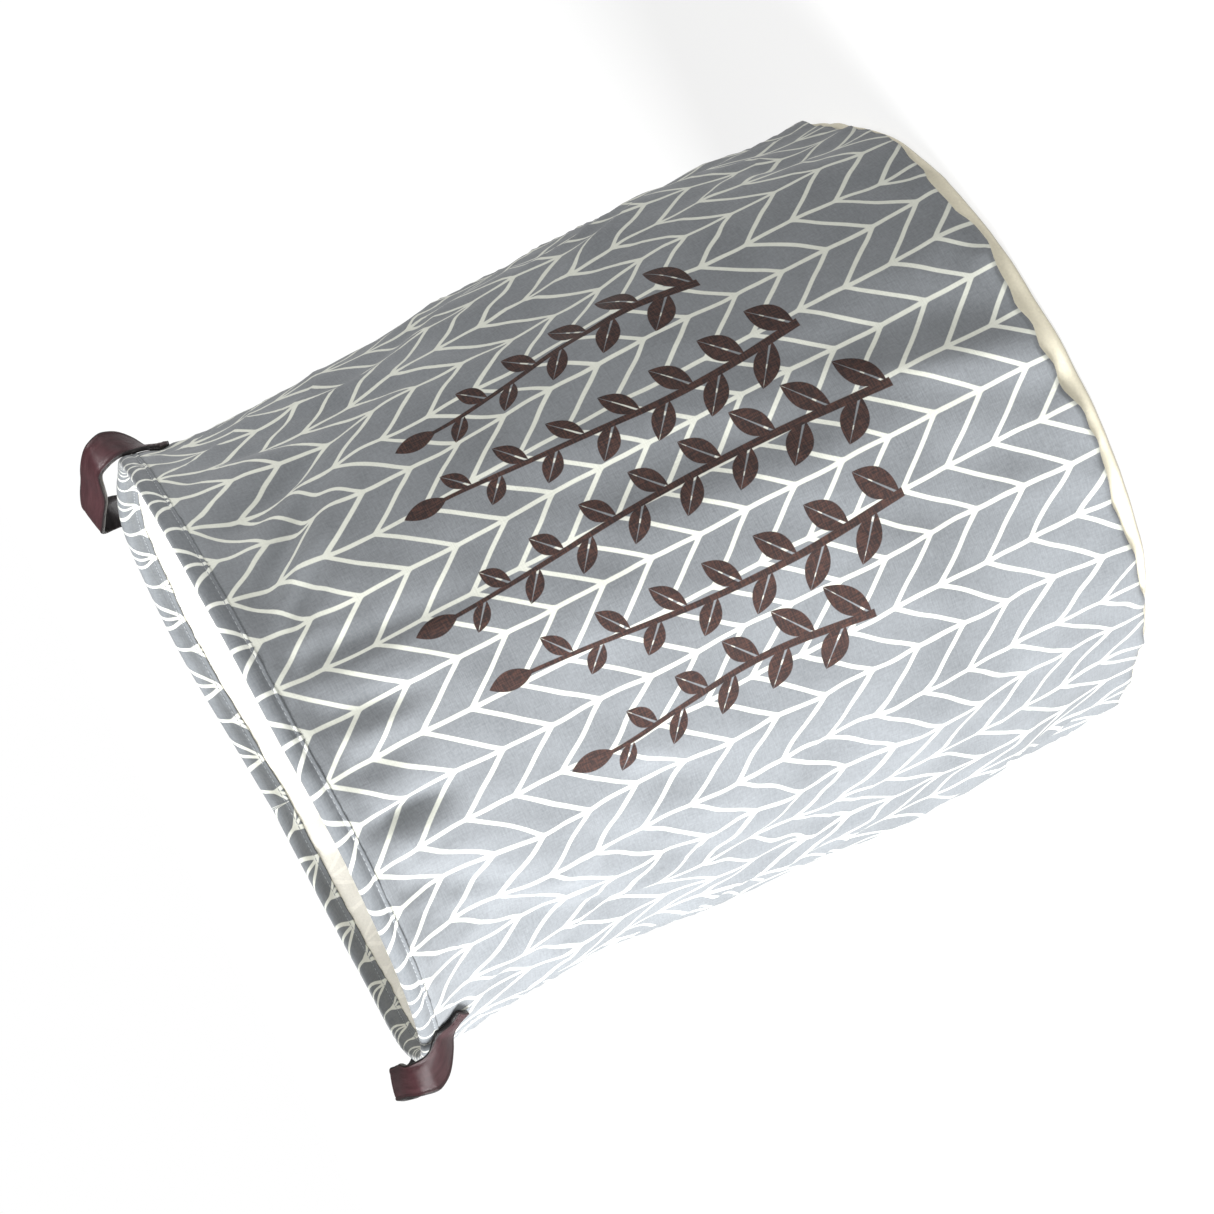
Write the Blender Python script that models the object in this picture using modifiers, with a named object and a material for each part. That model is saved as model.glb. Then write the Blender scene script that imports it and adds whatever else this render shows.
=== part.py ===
"""A round laundry hamper of printed canvas, with a hem, a cream lining and base, and two leather handles.

The hamper stands on z = 0 with its axis on Z. Its front looks along -Y, and the handles are at -X and +X.
Angles in the tables are degrees counted from the front, positive towards +X. Lengths are metres.
"""
import math

import bpy
from mathutils import Vector

# Body
HEIGHT = 0.450            # floor to the top of the rim
BODY_DIAMETER = 0.383     # outside, at the fullest part
CANVAS = 0.0016           # printed canvas with its coating
LINING = 0.0010           # cream lining cloth
GAP = 0.0004              # between sewn pieces that touch

# Hem around the wire at the rim
HEM_HEIGHT = 0.012
HEM_THICKNESS = 0.0052
HEM_SHOULDER = 0.45       # how far up its height the hem's flat sides reach

# Base cloth, turned up inside the printed wall
BASE_CLOTH = 0.0016
BASE_CORNER = 0.005       # radius of the turn between floor and border
BASE_BORDER = 0.016       # how far the border reaches up inside the wall
SEAM_HEIGHT = 0.0105      # lower edge of the printed wall above the floor

# Leather handles
STRAP_WIDTH = 0.019
STRAP_THICKNESS = 0.0026
HANDLE_SPAN = 0.130       # between the middles of the two sewn ends
HANDLE_RISE = 0.0150      # middle of the strap above the rim
TAB_DROP = 0.027          # end of the strap below the rim
TAB_GAP = 0.0008          # between the strap and the faceted wall behind it

# Mesh counts
COLUMNS = 60
WALL_ROWS = 14
ROW_CROWDING = 0.5        # how much closer the wall's rows lie at its two ends, from 0 to 1
CORNER_STEPS = 3
BEAD_STEPS = 4
STRAP_STEPS = 26
STRAP_LANES = 4
SHARP_ANGLE = math.radians(50)

# Outline of the wall: height as a share of HEIGHT, radius as a share of half of BODY_DIAMETER
PROFILE = (
    # height, radius
    (0.000, 1.004),
    (0.040, 1.004),
    (0.130, 1.000),
    (0.330, 0.998),
    (0.450, 0.979),
    (0.560, 0.969),
    (0.670, 0.950),
    (0.780, 0.937),
    (0.890, 0.932),
    (0.945, 0.944),
    (0.971, 0.962),
    (1.000, 0.965),
)

# How far the rim stands above or below HEIGHT, as a share of it, all the way round
RIM_WAVE = (
    # angle, lift
    (-180, -0.003),
    (-142, 0.000),
    (-114, 0.006),
    (-92, 0.001),
    (-52, -0.006),
    (-27, -0.006),
    (-2, 0.000),
    (38, 0.000),
    (64, -0.003),
    (86, -0.004),
    (96, 0.004),
    (108, 0.014),
    (124, 0.016),
    (144, 0.014),
    (164, 0.004),
    (180, -0.003),
)
LIFT_FADE = 3.0           # power by which the wave dies away down the wall

# Soft folds and dents: where the middle is, how far it reaches each way, how much it leans in degrees
# over the whole height, and how far it goes in (-) or out (+) as a share of half of BODY_DIAMETER
FOLDS = (
    # angle, height, half width, half length, lean, depth
    (-35, 0.900, 8, 0.085, 0, -0.022),
    (-23, 0.880, 7, 0.100, 10, -0.017),
    (-5, 0.900, 7, 0.080, 0, -0.014),
    (7, 0.890, 7, 0.090, 0, -0.012),
    (-59, 0.790, 9, 0.150, 105, -0.026),
    (-47, 0.820, 8, 0.140, 100, 0.014),
    (22, 0.850, 8, 0.110, -110, 0.018),
    (36, 0.840, 9, 0.120, -90, -0.020),
    (55, 0.810, 9, 0.120, 30, -0.024),
    (48, 0.520, 9, 0.150, 75, -0.018),
    (62, 0.450, 9, 0.170, 60, 0.014),
    (-72, 0.520, 9, 0.170, -40, -0.018),
    (-92, 0.750, 11, 0.150, 0, -0.022),
    (-90, 0.300, 13, 0.130, 20, 0.014),
    (61, 0.040, 18, 0.110, 0, -0.052),
    (-66, 0.060, 13, 0.090, 0, -0.024),
    (-28, 0.000, 28, 0.080, 0, 0.038),
    (175, 0.000, 28, 0.080, 0, 0.020),
    (120, 0.800, 10, 0.160, -60, -0.026),
    (134, 0.550, 11, 0.170, 40, 0.014),
    (153, 0.830, 9, 0.110, 30, -0.018),
    (-118, 0.820, 10, 0.150, 60, -0.026),
    (-134, 0.600, 11, 0.170, -50, 0.014),
    (-152, 0.850, 8, 0.110, 0, -0.020),
    (-122, 0.120, 12, 0.110, 0, -0.020),
    (130, 0.100, 12, 0.110, 0, -0.018),
)

# Where the wall's lower edge comes down over the cream base: the drop is a share of SEAM_HEIGHT, and
# where dips meet they go no further than MOST_DROP
SEAM_DIPS = (
    # angle, half width, drop
    (-21, 6, 0.40),
    (15, 6, 0.45),
    (-60, 18, 0.72),
    (44, 14, 0.70),
    (98, 24, 0.40),
    (158, 20, 0.50),
    (-122, 26, 0.50),
)
MOST_DROP = 0.9

# Where each handle's middle is sewn on
HANDLES = (
    # name, angle
    ("handle_left", -91.75),
    ("handle_right", 91.75),
)

# Half of a handle's strap, from the sewn end to the top of the arch: place along the wall as a share of
# half of HANDLE_SPAN, height as a share of TAB_DROP below the rim or of HANDLE_RISE above it, how far the
# rim side of the strap stands out from the rim as a share of STRAP_WIDTH, and the twist from flat on the
# wall in degrees
HANDLE_ROWS = (
    # along, height, stand, twist
    (1.03, -1.00, 0.00, 0),
    (0.96, -0.77, 0.00, 0),
    (0.92, -0.57, 0.00, 2),
    (0.89, -0.40, 0.06, 16),
    (0.87, -0.14, 0.24, 42),
    (0.86, 0.22, 0.26, 62),
    (0.79, 0.70, 0.00, 84),
    (0.50, 0.98, -0.42, 106),
    (0.00, 1.00, -0.56, 114),
)

# Colours and finishes: red, green, blue and roughness
FINISHES = {
    "wall": (0.42, 0.45, 0.48, 0.90),
    "hem": (0.33, 0.36, 0.39, 0.90),
    "lining": (0.85, 0.82, 0.74, 0.85),
    "base": (0.84, 0.81, 0.70, 0.88),
    "leather": (0.075, 0.028, 0.027, 0.42),
}

# Derived sizes
BODY_RADIUS = BODY_DIAMETER / 2
HEM_SHARE = 1 - HEM_HEIGHT / HEIGHT
WALL_TOP_SHARE = HEM_SHARE - GAP / HEIGHT
UNDER_WALL = CANVAS + GAP                       # depth of what lies inside the printed canvas
UNDER_BORDER = UNDER_WALL + BASE_CLOTH + GAP    # depth of what lies inside the turned-up border
FLOOR_OF_LINING = BASE_CLOTH + GAP


def smooth_between(rows, place):
    """Reads the second column of a table at a place in the first, on a curve through all the rows."""
    if place <= rows[0][0]:
        return rows[0][1]
    if place >= rows[-1][0]:
        return rows[-1][1]
    index = max(i for i, row in enumerate(rows[:-1]) if row[0] <= place)
    low, high = rows[index], rows[index + 1]
    before = rows[max(index - 1, 0)]
    after = rows[min(index + 2, len(rows) - 1)]
    step = high[0] - low[0]
    slope_low = (high[1] - before[1]) / (high[0] - before[0]) * step
    slope_high = (after[1] - low[1]) / (after[0] - low[0]) * step
    t = (place - low[0]) / step
    return ((2 * t**3 - 3 * t**2 + 1) * low[1] + (t**3 - 2 * t**2 + t) * slope_low
            + (3 * t**2 - 2 * t**3) * high[1] + (t**3 - t**2) * slope_high)


def turned(angle):
    """Brings an angle into the half turns either side of the front."""
    return (angle + 180) % 360 - 180


def fold_depth(angle, share):
    """Adds up the folds and dents at one place on the wall."""
    total = 0.0
    for middle, height, half_width, half_length, lean, depth in FOLDS:
        across = turned(angle - middle - lean * (share - height)) / half_width
        along = (share - height) / half_length
        total += depth * math.exp(-across * across - along * along)
    return total


def outer_radius(angle, share):
    """Radius of the hamper's outer face."""
    return BODY_RADIUS * (smooth_between(PROFILE, share) + fold_depth(angle, share))


def height_at(angle, share):
    """Real height of a place given as a share of the height, with the wave of the rim."""
    wave = smooth_between(RIM_WAVE, turned(angle))
    return HEIGHT * (share + wave * max(share, 0.0) ** LIFT_FADE)


def around(angle, radius, height):
    """A point at an angle from the front, a radius and a height."""
    turn = math.radians(angle - 90)
    return Vector((radius * math.cos(turn), radius * math.sin(turn), height))


def outer_point(angle, share):
    """A point on the hamper's outer face."""
    return around(angle, outer_radius(angle, share), height_at(angle, share))


def skin(angle, share, depth):
    """A point below the outer face, measured square to it."""
    sideways = outer_point(angle + 1, share) - outer_point(angle - 1, share)
    upwards = outer_point(angle, share + 0.005) - outer_point(angle, share - 0.005)
    return outer_point(angle, share) - sideways.cross(upwards).normalized() * depth


def seam_share(angle):
    """Height of the printed wall's lower edge, as a share of the height."""
    drop = sum(row[2] * math.exp(-(turned(angle - row[0]) / row[1]) ** 2) for row in SEAM_DIPS)
    return SEAM_HEIGHT / HEIGHT * (1 - min(drop, MOST_DROP))


def columns():
    """The angles of the mesh's columns."""
    return [360 * i / COLUMNS - 180 for i in range(COLUMNS)]


def finish(name):
    """The material of a sub-part."""
    red, green, blue, roughness = FINISHES[name]
    material = bpy.data.materials.new(name)
    material.use_nodes = True
    shader = material.node_tree.nodes["Principled BSDF"]
    shader.inputs["Base Color"].default_value = (red, green, blue, 1)
    shader.inputs["Roughness"].default_value = roughness
    material.diffuse_color = (red, green, blue, 1)
    return material


def add_object(name, points, faces, material, collection):
    """Makes one named object out of points and faces."""
    mesh = bpy.data.meshes.new(name)
    mesh.from_pydata([tuple(point) for point in points], [], faces)
    mesh.materials.append(material)
    mesh.shade_smooth()
    mesh.set_sharp_from_angle(angle=SHARP_ANGLE)
    obj = bpy.data.objects.new(name, mesh)
    collection.objects.link(obj)
    return obj


def loft(rings, close_last=False, join_ends=False):
    """Joins rings of points into faces. The last ring can be filled, or joined to the first one."""
    count = len(rings[0])
    points = [point for ring in rings for point in ring]
    pairs = [(i, i + 1) for i in range(len(rings) - 1)]
    if join_ends:
        pairs.append((len(rings) - 1, 0))
    faces = []
    for low, high in pairs:
        for i in range(count):
            j = (i + 1) % count
            faces.append((low * count + i, high * count + i, high * count + j, low * count + j))
    if close_last:
        start = (len(rings) - 1) * count
        faces.append(tuple(range(start, start + count))[::-1])
    return points, faces


def give_thickness(obj, thickness, offset):
    """Turns an open surface into a closed wall."""
    solid = obj.modifiers.new("thickness", "SOLIDIFY")
    solid.thickness = thickness
    solid.offset = offset
    solid.use_even_offset = True


def wall_shares(angle):
    """Heights of the wall's rows at one angle, from the hem down to its lower edge."""
    low = seam_share(angle)
    steps = [i / WALL_ROWS for i in range(WALL_ROWS + 1)]
    crowded = [step - ROW_CROWDING * math.sin(2 * math.pi * step) / (2 * math.pi) for step in steps]
    return [WALL_TOP_SHARE + (low - WALL_TOP_SHARE) * step for step in crowded]


def make_wall(collection):
    """The printed canvas tube, from below the hem to its lower edge."""
    heights = [wall_shares(angle) for angle in columns()]
    rings = [
        [skin(angle, shares[row], 0) for angle, shares in zip(columns(), heights)]
        for row in range(WALL_ROWS + 1)
    ]
    wall = add_object("wall", *loft(rings), finish("wall"), collection)
    give_thickness(wall, CANVAS, -1)


def lining_depth(height):
    """Depth of the lining's outer face: it steps in where the base's border lies outside it."""
    rise = (height - BASE_BORDER - 2 * GAP) / BASE_BORDER
    rise = min(max(rise, 0.0), 1.0)
    return UNDER_BORDER + (UNDER_WALL - UNDER_BORDER) * rise * rise * (3 - 2 * rise)


def corner_rings(depth, radius, floor, steps):
    """The turn from a wall of the given depth down onto a flat floor."""
    rings = []
    for step in range(steps + 1):
        turn = math.pi / 2 * step / steps
        ring = []
        for angle in columns():
            upright = skin(angle, (floor + radius) / HEIGHT, depth)
            reach = math.hypot(upright.x, upright.y) - radius * (1 - math.cos(turn))
            ring.append(around(angle, reach, floor + radius * (1 - math.sin(turn))))
        rings.append(ring)
    return rings


def make_lining(collection):
    """The cream lining: a wall inside the canvas, and a floor on the base cloth."""
    heights = [wall_shares(angle) for angle in columns()]
    rings = []
    for row in range(WALL_ROWS):
        places = [(angle, shares[row]) for angle, shares in zip(columns(), heights)]
        rings.append([skin(angle, share, lining_depth(share * HEIGHT)) for angle, share in places])
    border_top = (BASE_BORDER + 2 * GAP) / HEIGHT
    rings.append([skin(angle, border_top, UNDER_BORDER) for angle in columns()])
    corner = BASE_CORNER - FLOOR_OF_LINING
    rings += corner_rings(UNDER_BORDER, corner, FLOOR_OF_LINING, CORNER_STEPS - 1)
    lining = add_object("lining", *loft(rings, close_last=True), finish("lining"), collection)
    give_thickness(lining, LINING, -1)


def make_base(collection):
    """The cream base cloth: a flat round, turned up inside the wall's lower edge."""
    rings = []
    for height in (BASE_BORDER, (BASE_BORDER + BASE_CORNER) / 2):
        rings.append([skin(angle, height / HEIGHT, UNDER_WALL) for angle in columns()])
    rings += corner_rings(UNDER_WALL, BASE_CORNER, 0.0, CORNER_STEPS)
    base = add_object("base", *loft(rings, close_last=True), finish("base"), collection)
    give_thickness(base, BASE_CLOTH, -1)


def hem_section():
    """The hem's section: depth from the outer face and height below the rim, all the way round."""
    bead = HEM_THICKNESS / 2
    foot = UNDER_WALL + LINING + GAP
    shoulder = HEM_HEIGHT * (1 - HEM_SHOULDER)
    section = [(0.0, HEM_HEIGHT), (0.0, shoulder)]
    for step in range(BEAD_STEPS + 1):
        turn = math.pi * step / BEAD_STEPS
        section.append((bead - bead * math.cos(turn), bead - bead * math.sin(turn)))
    section += [((HEM_THICKNESS + foot) / 2, shoulder), (foot, HEM_HEIGHT)]
    return section


def make_hem(collection):
    """The rim's hem: the canvas turned over the wire and sewn down, one closed ring."""
    rings = [
        [skin(angle, 1 - below / HEIGHT, depth) for angle in columns()]
        for depth, below in reversed(hem_section())
    ]
    add_object("hem", *loft(rings, join_ends=True), finish("hem"), collection)


def strap_row(place):
    """Along, height, stand and twist of the strap at a place from 0, one sewn end, to 1, the other."""
    half = 1 - abs(2 * place - 1)
    last = len(HANDLE_ROWS) - 1
    values = []
    for column in range(4):
        rows = [(i / last, row[column]) for i, row in enumerate(HANDLE_ROWS)]
        values.append(smooth_between(rows, half))
    along, height, stand, twist = values
    along *= HANDLE_SPAN / 2 * (-1 if place < 0.5 else 1)
    height *= HANDLE_RISE if height > 0 else TAB_DROP
    return along, height, stand * STRAP_WIDTH, math.radians(twist)


def strap_point(place, lane, middle):
    """A point of the strap's middle surface. The lane goes from -1, the outer side, to 1, the rim side."""
    along, height, stand, twist = strap_row(place)
    before, after = strap_row(max(place - 0.01, 0)), strap_row(min(place + 0.01, 1))
    run, climb = after[0] - before[0], after[1] - before[1]
    length = math.hypot(run, climb)
    across = lane * STRAP_WIDTH / 2
    flat = across * math.cos(twist)
    along -= flat * climb / length
    height += flat * run / length
    angle = middle + math.degrees(along / (BODY_RADIUS * PROFILE[-1][1]))
    out = TAB_GAP + STRAP_THICKNESS / 2 + stand + (STRAP_WIDTH / 2 - across) * math.sin(twist)
    share = min(1 + height / HEIGHT, 1.0)
    above = max(height, 0.0)
    return around(angle, outer_radius(angle, share) + out, height_at(angle, share) + above)


def make_handle(name, middle, collection):
    """One leather strap, sewn to the wall at both ends and arched over the rim around a middle angle."""
    lanes = [2 * lane / STRAP_LANES - 1 for lane in range(STRAP_LANES + 1)]
    points = []
    for step in range(STRAP_STEPS + 1):
        points += [strap_point(step / STRAP_STEPS, lane, middle) for lane in lanes]
    faces = []
    width = len(lanes)
    for step in range(STRAP_STEPS):
        for lane in range(STRAP_LANES):
            corner = step * width + lane
            faces.append((corner, corner + width, corner + width + 1, corner + 1))
    strap = add_object(name, points, faces, finish("leather"), collection)
    give_thickness(strap, STRAP_THICKNESS, 0)


def main():
    """Clears the scene and builds every sub-part."""
    for obj in list(bpy.data.objects):
        bpy.data.objects.remove(obj, do_unlink=True)
    collection = bpy.data.collections.new("laundry_hamper")
    bpy.context.scene.collection.children.link(collection)
    make_wall(collection)
    make_hem(collection)
    make_lining(collection)
    make_base(collection)
    for name, middle in HANDLES:
        make_handle(name, middle, collection)


main()
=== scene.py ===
# %% [markdown]
# # A round laundry hamper in printed canvas
#
# The real hamper is a tube of printed canvas with a cream lining sewn inside it, a cream round of cloth
# under it, a wire ring rolled into its hem and two leather straps. The CAD frame already holds those six
# pieces as plain solids. This script leaves them where they are and dresses each one: fine folds in the
# cloth, thread, print, leather grain and daylight.

# %% Load the frame
import math

import bmesh
import bpy
import numpy as np
from mathutils import Matrix, Vector, noise


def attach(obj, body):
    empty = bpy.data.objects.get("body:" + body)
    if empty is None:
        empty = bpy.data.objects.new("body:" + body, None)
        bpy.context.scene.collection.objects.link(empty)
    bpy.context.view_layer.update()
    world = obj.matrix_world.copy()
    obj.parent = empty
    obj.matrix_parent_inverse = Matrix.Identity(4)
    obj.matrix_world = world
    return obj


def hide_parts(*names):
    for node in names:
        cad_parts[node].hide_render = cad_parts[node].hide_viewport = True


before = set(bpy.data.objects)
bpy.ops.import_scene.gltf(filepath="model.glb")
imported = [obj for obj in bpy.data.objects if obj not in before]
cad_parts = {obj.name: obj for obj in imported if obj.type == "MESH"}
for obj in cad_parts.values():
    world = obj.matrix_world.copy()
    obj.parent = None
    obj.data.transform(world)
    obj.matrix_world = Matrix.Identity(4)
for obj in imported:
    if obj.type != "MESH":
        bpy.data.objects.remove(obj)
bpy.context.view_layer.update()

print("CAD nodes:", sorted(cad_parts))

# %% [markdown]
# ## The camera
#
# The picture was taken from a step away, a little above the rim, with a long lens, and then turned by about
# a third of a circle. A camera is a matrix: its right, up and back directions and its place. Building it that
# way keeps the turn of the picture apart from the direction of the view, so neither upsets the other.

# %% Camera
CAMERA_DISTANCE = 1.600                    # metres from the hamper's axis
CAMERA_HEIGHT = 0.5406
CAMERA_ASIDE = -0.0081
LOOKS_DOWN = 0.1859                        # radians below level
WALKED_ROUND = math.radians(-8.25)         # the camera's turn round the hamper
PICTURE_TURN = math.radians(117.7) - 0.0091
SENSOR = 36.0
LENS = SENSOR * 2887.3 / 1214              # focal length in pixels over the picture's width


def camera_matrix():
    """The place and the directions of the camera, with the picture turned about the line of sight."""
    right = Vector((1, 0, 0))
    up = Vector((0, math.sin(LOOKS_DOWN), math.cos(LOOKS_DOWN)))
    back = Vector((0, -math.cos(LOOKS_DOWN), math.sin(LOOKS_DOWN)))
    turned_right = right * math.cos(PICTURE_TURN) - up * math.sin(PICTURE_TURN)
    turned_up = right * math.sin(PICTURE_TURN) + up * math.cos(PICTURE_TURN)
    place = Vector((CAMERA_ASIDE, -CAMERA_DISTANCE, CAMERA_HEIGHT))
    columns = Matrix((turned_right, turned_up, back)).transposed().to_4x4()
    return Matrix.Rotation(WALKED_ROUND, 4, "Z") @ Matrix.Translation(place) @ columns


camera = bpy.data.objects.new("camera", bpy.data.cameras.new("camera"))
camera.data.sensor_width = SENSOR
camera.data.lens = LENS
camera.matrix_world = camera_matrix()
bpy.context.scene.collection.objects.link(camera)
bpy.context.scene.camera = camera
print("Camera at", [round(value, 3) for value in camera.matrix_world.translation])

# %% [markdown]
# ## The studio
#
# Daylight comes in low from the left, as from a tall window, and the table under the hamper glows a little,
# as an acrylic light table does, so its own shadow stays pale. The daylight makes the left of the canvas
# almost white and leaves the right of it grey, which is what shows the hamper's roundness. Sunlight with a
# wide disc is soft, and it lights the whole floor evenly, so the floor and the white sky meet with no line.
# Two softboxes hang close above, so the rim gets more light than the foot.

# %% Colour and node helpers
def colour(hex_code):
    """An sRGB hex colour as the linear numbers that shaders use."""
    channels = [int(hex_code[i:i + 2], 16) / 255 for i in (0, 2, 4)]
    linear = [c / 12.92 if c <= 0.04045 else ((c + 0.055) / 1.055) ** 2.4 for c in channels]
    return (*linear, 1.0)


def add(tree, kind, inputs=None, **settings):
    """Adds a node with its settings. An input is a value, a socket or a node, whose first output is meant."""
    node = tree.nodes.new(kind)
    for name, value in settings.items():
        setattr(node, name, value)
    for key, value in (inputs or {}).items():
        if isinstance(value, bpy.types.Node):
            value = value.outputs[0]
        if isinstance(value, bpy.types.NodeSocket):
            tree.links.new(value, node.inputs[key])
        else:
            node.inputs[key].default_value = value
    return node


# %% Floor, sky and daylight
FLOOR_SIZE = 60.0
DAYLIGHT = 6.9                             # watts per square metre
DAYLIGHT_SOFTNESS = math.radians(38)       # width of the window as the hamper sees it
DAYLIGHT_FROM = (math.radians(-78), math.radians(33))    # round from the front, and above level
SKY_LIGHT = 0.12
TABLE_GLOW = 0.80
SOFTBOXES = (
    # name, place, width in metres, watts
    ("right_softbox", (0.40, -0.60, 0.95), 0.6, 6.2),
    ("left_softbox", (-0.86, -0.38, 0.86), 0.5, 15.5),
)

floor_mesh = bpy.data.meshes.new("floor")
half_floor = FLOOR_SIZE / 2
floor_corners = [(-half_floor, -half_floor, 0), (half_floor, -half_floor, 0),
                 (half_floor, half_floor, 0), (-half_floor, half_floor, 0)]
floor_mesh.from_pydata(floor_corners, [], [(0, 1, 2, 3)])
floor = bpy.data.objects.new("floor", floor_mesh)
bpy.context.scene.collection.objects.link(floor)

table_top = bpy.data.materials.new("opal acrylic light table, matt")
table_top.use_nodes = True
table_shader = table_top.node_tree.nodes["Principled BSDF"]
table_shader.inputs["Base Color"].default_value = colour("757574")
table_shader.inputs["Roughness"].default_value = 0.95
table_shader.inputs["Specular IOR Level"].default_value = 0.1
table_shader.inputs["Emission Color"].default_value = (1, 1, 1, 1)
table_shader.inputs["Emission Strength"].default_value = TABLE_GLOW
floor_mesh.materials.append(table_top)

world = bpy.data.worlds.new("white studio")
world.use_nodes = True
sky = world.node_tree
seen = sky.nodes["Background"]
seen.inputs["Color"].default_value = (1, 1, 1, 1)
seen.inputs["Strength"].default_value = 1.0
lighting = add(sky, "ShaderNodeBackground", {"Color": (1.0, 0.995, 0.98, 1), "Strength": SKY_LIGHT})
ray = add(sky, "ShaderNodeLightPath")
mixed = add(sky, "ShaderNodeMixShader", {0: ray.outputs["Is Camera Ray"], 1: lighting, 2: seen})
sky.links.new(mixed.outputs[0], sky.nodes["World Output"].inputs["Surface"])
bpy.context.scene.world = world
bpy.context.scene.view_settings.view_transform = "Standard"

window = bpy.data.lights.new("window_daylight", "SUN")
window.energy = DAYLIGHT
window.angle = DAYLIGHT_SOFTNESS
window.color = (0.965, 0.985, 1.0)
window_object = bpy.data.objects.new("window_daylight", window)
round_from, above = DAYLIGHT_FROM
towards_window = Vector((math.sin(round_from) * math.cos(above), -math.cos(round_from) * math.cos(above),
                         math.sin(above)))
window_object.rotation_euler = towards_window.to_track_quat("Z", "Y").to_euler()
bpy.context.scene.collection.objects.link(window_object)

for name, place, width, watts in SOFTBOXES:
    softbox = bpy.data.lights.new(name, "AREA")
    softbox.shape = "DISK"
    softbox.size = width
    softbox.energy = watts
    softbox_object = bpy.data.objects.new(name, softbox)
    softbox_object.location = place
    back = Vector(place) - Vector((0, 0, 0.35))
    softbox_object.rotation_euler = back.to_track_quat("Z", "Y").to_euler()
    bpy.context.scene.collection.objects.link(softbox_object)
print("Daylight from", [round(value, 2) for value in towards_window])

# %% [markdown]
# ## The shape of the cloth
#
# The same short tables as the CAD model's give the canvas its outline, the wave of its rim and its main
# folds. Numpy works them out for a whole grid of places at once, so the cloth can be twenty times finer than
# the solid. Angles are degrees from the front, positive towards +X, and a share is a height on the cloth
# divided by the hamper's height.

# %% Sizes of the hamper
HEIGHT = 0.450
BODY_RADIUS = 0.383 / 2
CANVAS = 0.0016                # thickness of the printed cloth
LINING = 0.0010
GAP = 0.0004                   # air between one cloth and the next
HEM_HEIGHT = 0.012
BASE_CLOTH = 0.0016
BASE_CORNER = 0.005
BASE_BORDER = 0.016
SEAM_HEIGHT = 0.0105
MOST_DROP = 0.9                # of the wall's lower edge, as a share of SEAM_HEIGHT
LIFT_FADE = 3.0                # power by which the rim's wave dies out down the wall

PROFILE = (
    # height share, radius share
    (0.000, 1.004), (0.040, 1.004), (0.130, 1.000), (0.330, 0.998), (0.450, 0.979), (0.560, 0.969),
    (0.670, 0.950), (0.780, 0.937), (0.890, 0.932), (0.945, 0.944), (0.971, 0.962), (1.000, 0.965),
)
RIM_WAVE = (
    # angle, lift as a share of HEIGHT
    (-180, -0.003), (-142, 0.000), (-114, 0.006), (-92, 0.001), (-52, -0.006), (-27, -0.006),
    (-2, 0.000), (38, 0.000), (64, -0.003), (86, -0.004), (96, 0.004), (108, 0.014),
    (124, 0.016), (144, 0.014), (164, 0.004), (180, -0.003),
)
SEAM_DIPS = (
    # angle, half width, drop as a share of SEAM_HEIGHT
    (-21, 6, 0.40), (15, 6, 0.45), (-60, 18, 0.72), (44, 14, 0.70), (98, 24, 0.40), (158, 20, 0.50),
    (-122, 26, 0.50),
)
FOLDS = (
    # angle, height, half width, half length, lean over the whole height, depth as a share of BODY_RADIUS
    (-35, 0.900, 8, 0.085, 0, -0.022), (-23, 0.880, 7, 0.100, 10, -0.017), (-5, 0.900, 7, 0.080, 0, -0.014),
    (7, 0.890, 7, 0.090, 0, -0.012), (-59, 0.790, 9, 0.150, 105, -0.026), (-47, 0.820, 8, 0.140, 100, 0.014),
    (22, 0.850, 8, 0.110, -110, 0.018), (36, 0.840, 9, 0.120, -90, -0.020), (55, 0.810, 9, 0.120, 30, -0.024),
    (48, 0.520, 9, 0.150, 75, -0.018), (62, 0.450, 9, 0.170, 60, 0.014), (-72, 0.520, 9, 0.170, -40, -0.018),
    (-92, 0.750, 11, 0.150, 0, -0.022), (-90, 0.300, 13, 0.130, 20, 0.014), (61, 0.040, 18, 0.110, 0, -0.052),
    (-66, 0.060, 13, 0.090, 0, -0.024), (-28, 0.000, 28, 0.080, 0, 0.038), (175, 0.000, 28, 0.080, 0, 0.020),
    (120, 0.800, 10, 0.160, -60, -0.026), (134, 0.550, 11, 0.170, 40, 0.014),
    (153, 0.830, 9, 0.110, 30, -0.018), (-118, 0.820, 10, 0.150, 60, -0.026),
    (-134, 0.600, 11, 0.170, -50, 0.014), (-152, 0.850, 8, 0.110, 0, -0.020),
    (-122, 0.120, 12, 0.110, 0, -0.020), (130, 0.100, 12, 0.110, 0, -0.018),
)


# %% Curves through the tables
def turned(angle):
    """Brings angles into the half turns either side of the front."""
    return (np.asarray(angle, dtype=float) + 180) % 360 - 180


def smooth_between(rows, place):
    """Reads the second column of a table at places in the first, on a curve through all the rows."""
    xs = np.array([row[0] for row in rows], dtype=float)
    ys = np.array([row[1] for row in rows], dtype=float)
    place = np.clip(place, xs[0], xs[-1])
    i = np.clip(np.searchsorted(xs, place, side="right") - 1, 0, len(xs) - 2)
    before, after = np.maximum(i - 1, 0), np.minimum(i + 2, len(xs) - 1)
    step = xs[i + 1] - xs[i]
    slope_low = (ys[i + 1] - ys[before]) / (xs[i + 1] - xs[before]) * step
    slope_high = (ys[after] - ys[i]) / (xs[after] - xs[i]) * step
    t = (place - xs[i]) / step
    return ((2 * t**3 - 3 * t**2 + 1) * ys[i] + (t**3 - 2 * t**2 + t) * slope_low
            + (3 * t**2 - 2 * t**3) * ys[i + 1] + (t**3 - t**2) * slope_high)


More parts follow.
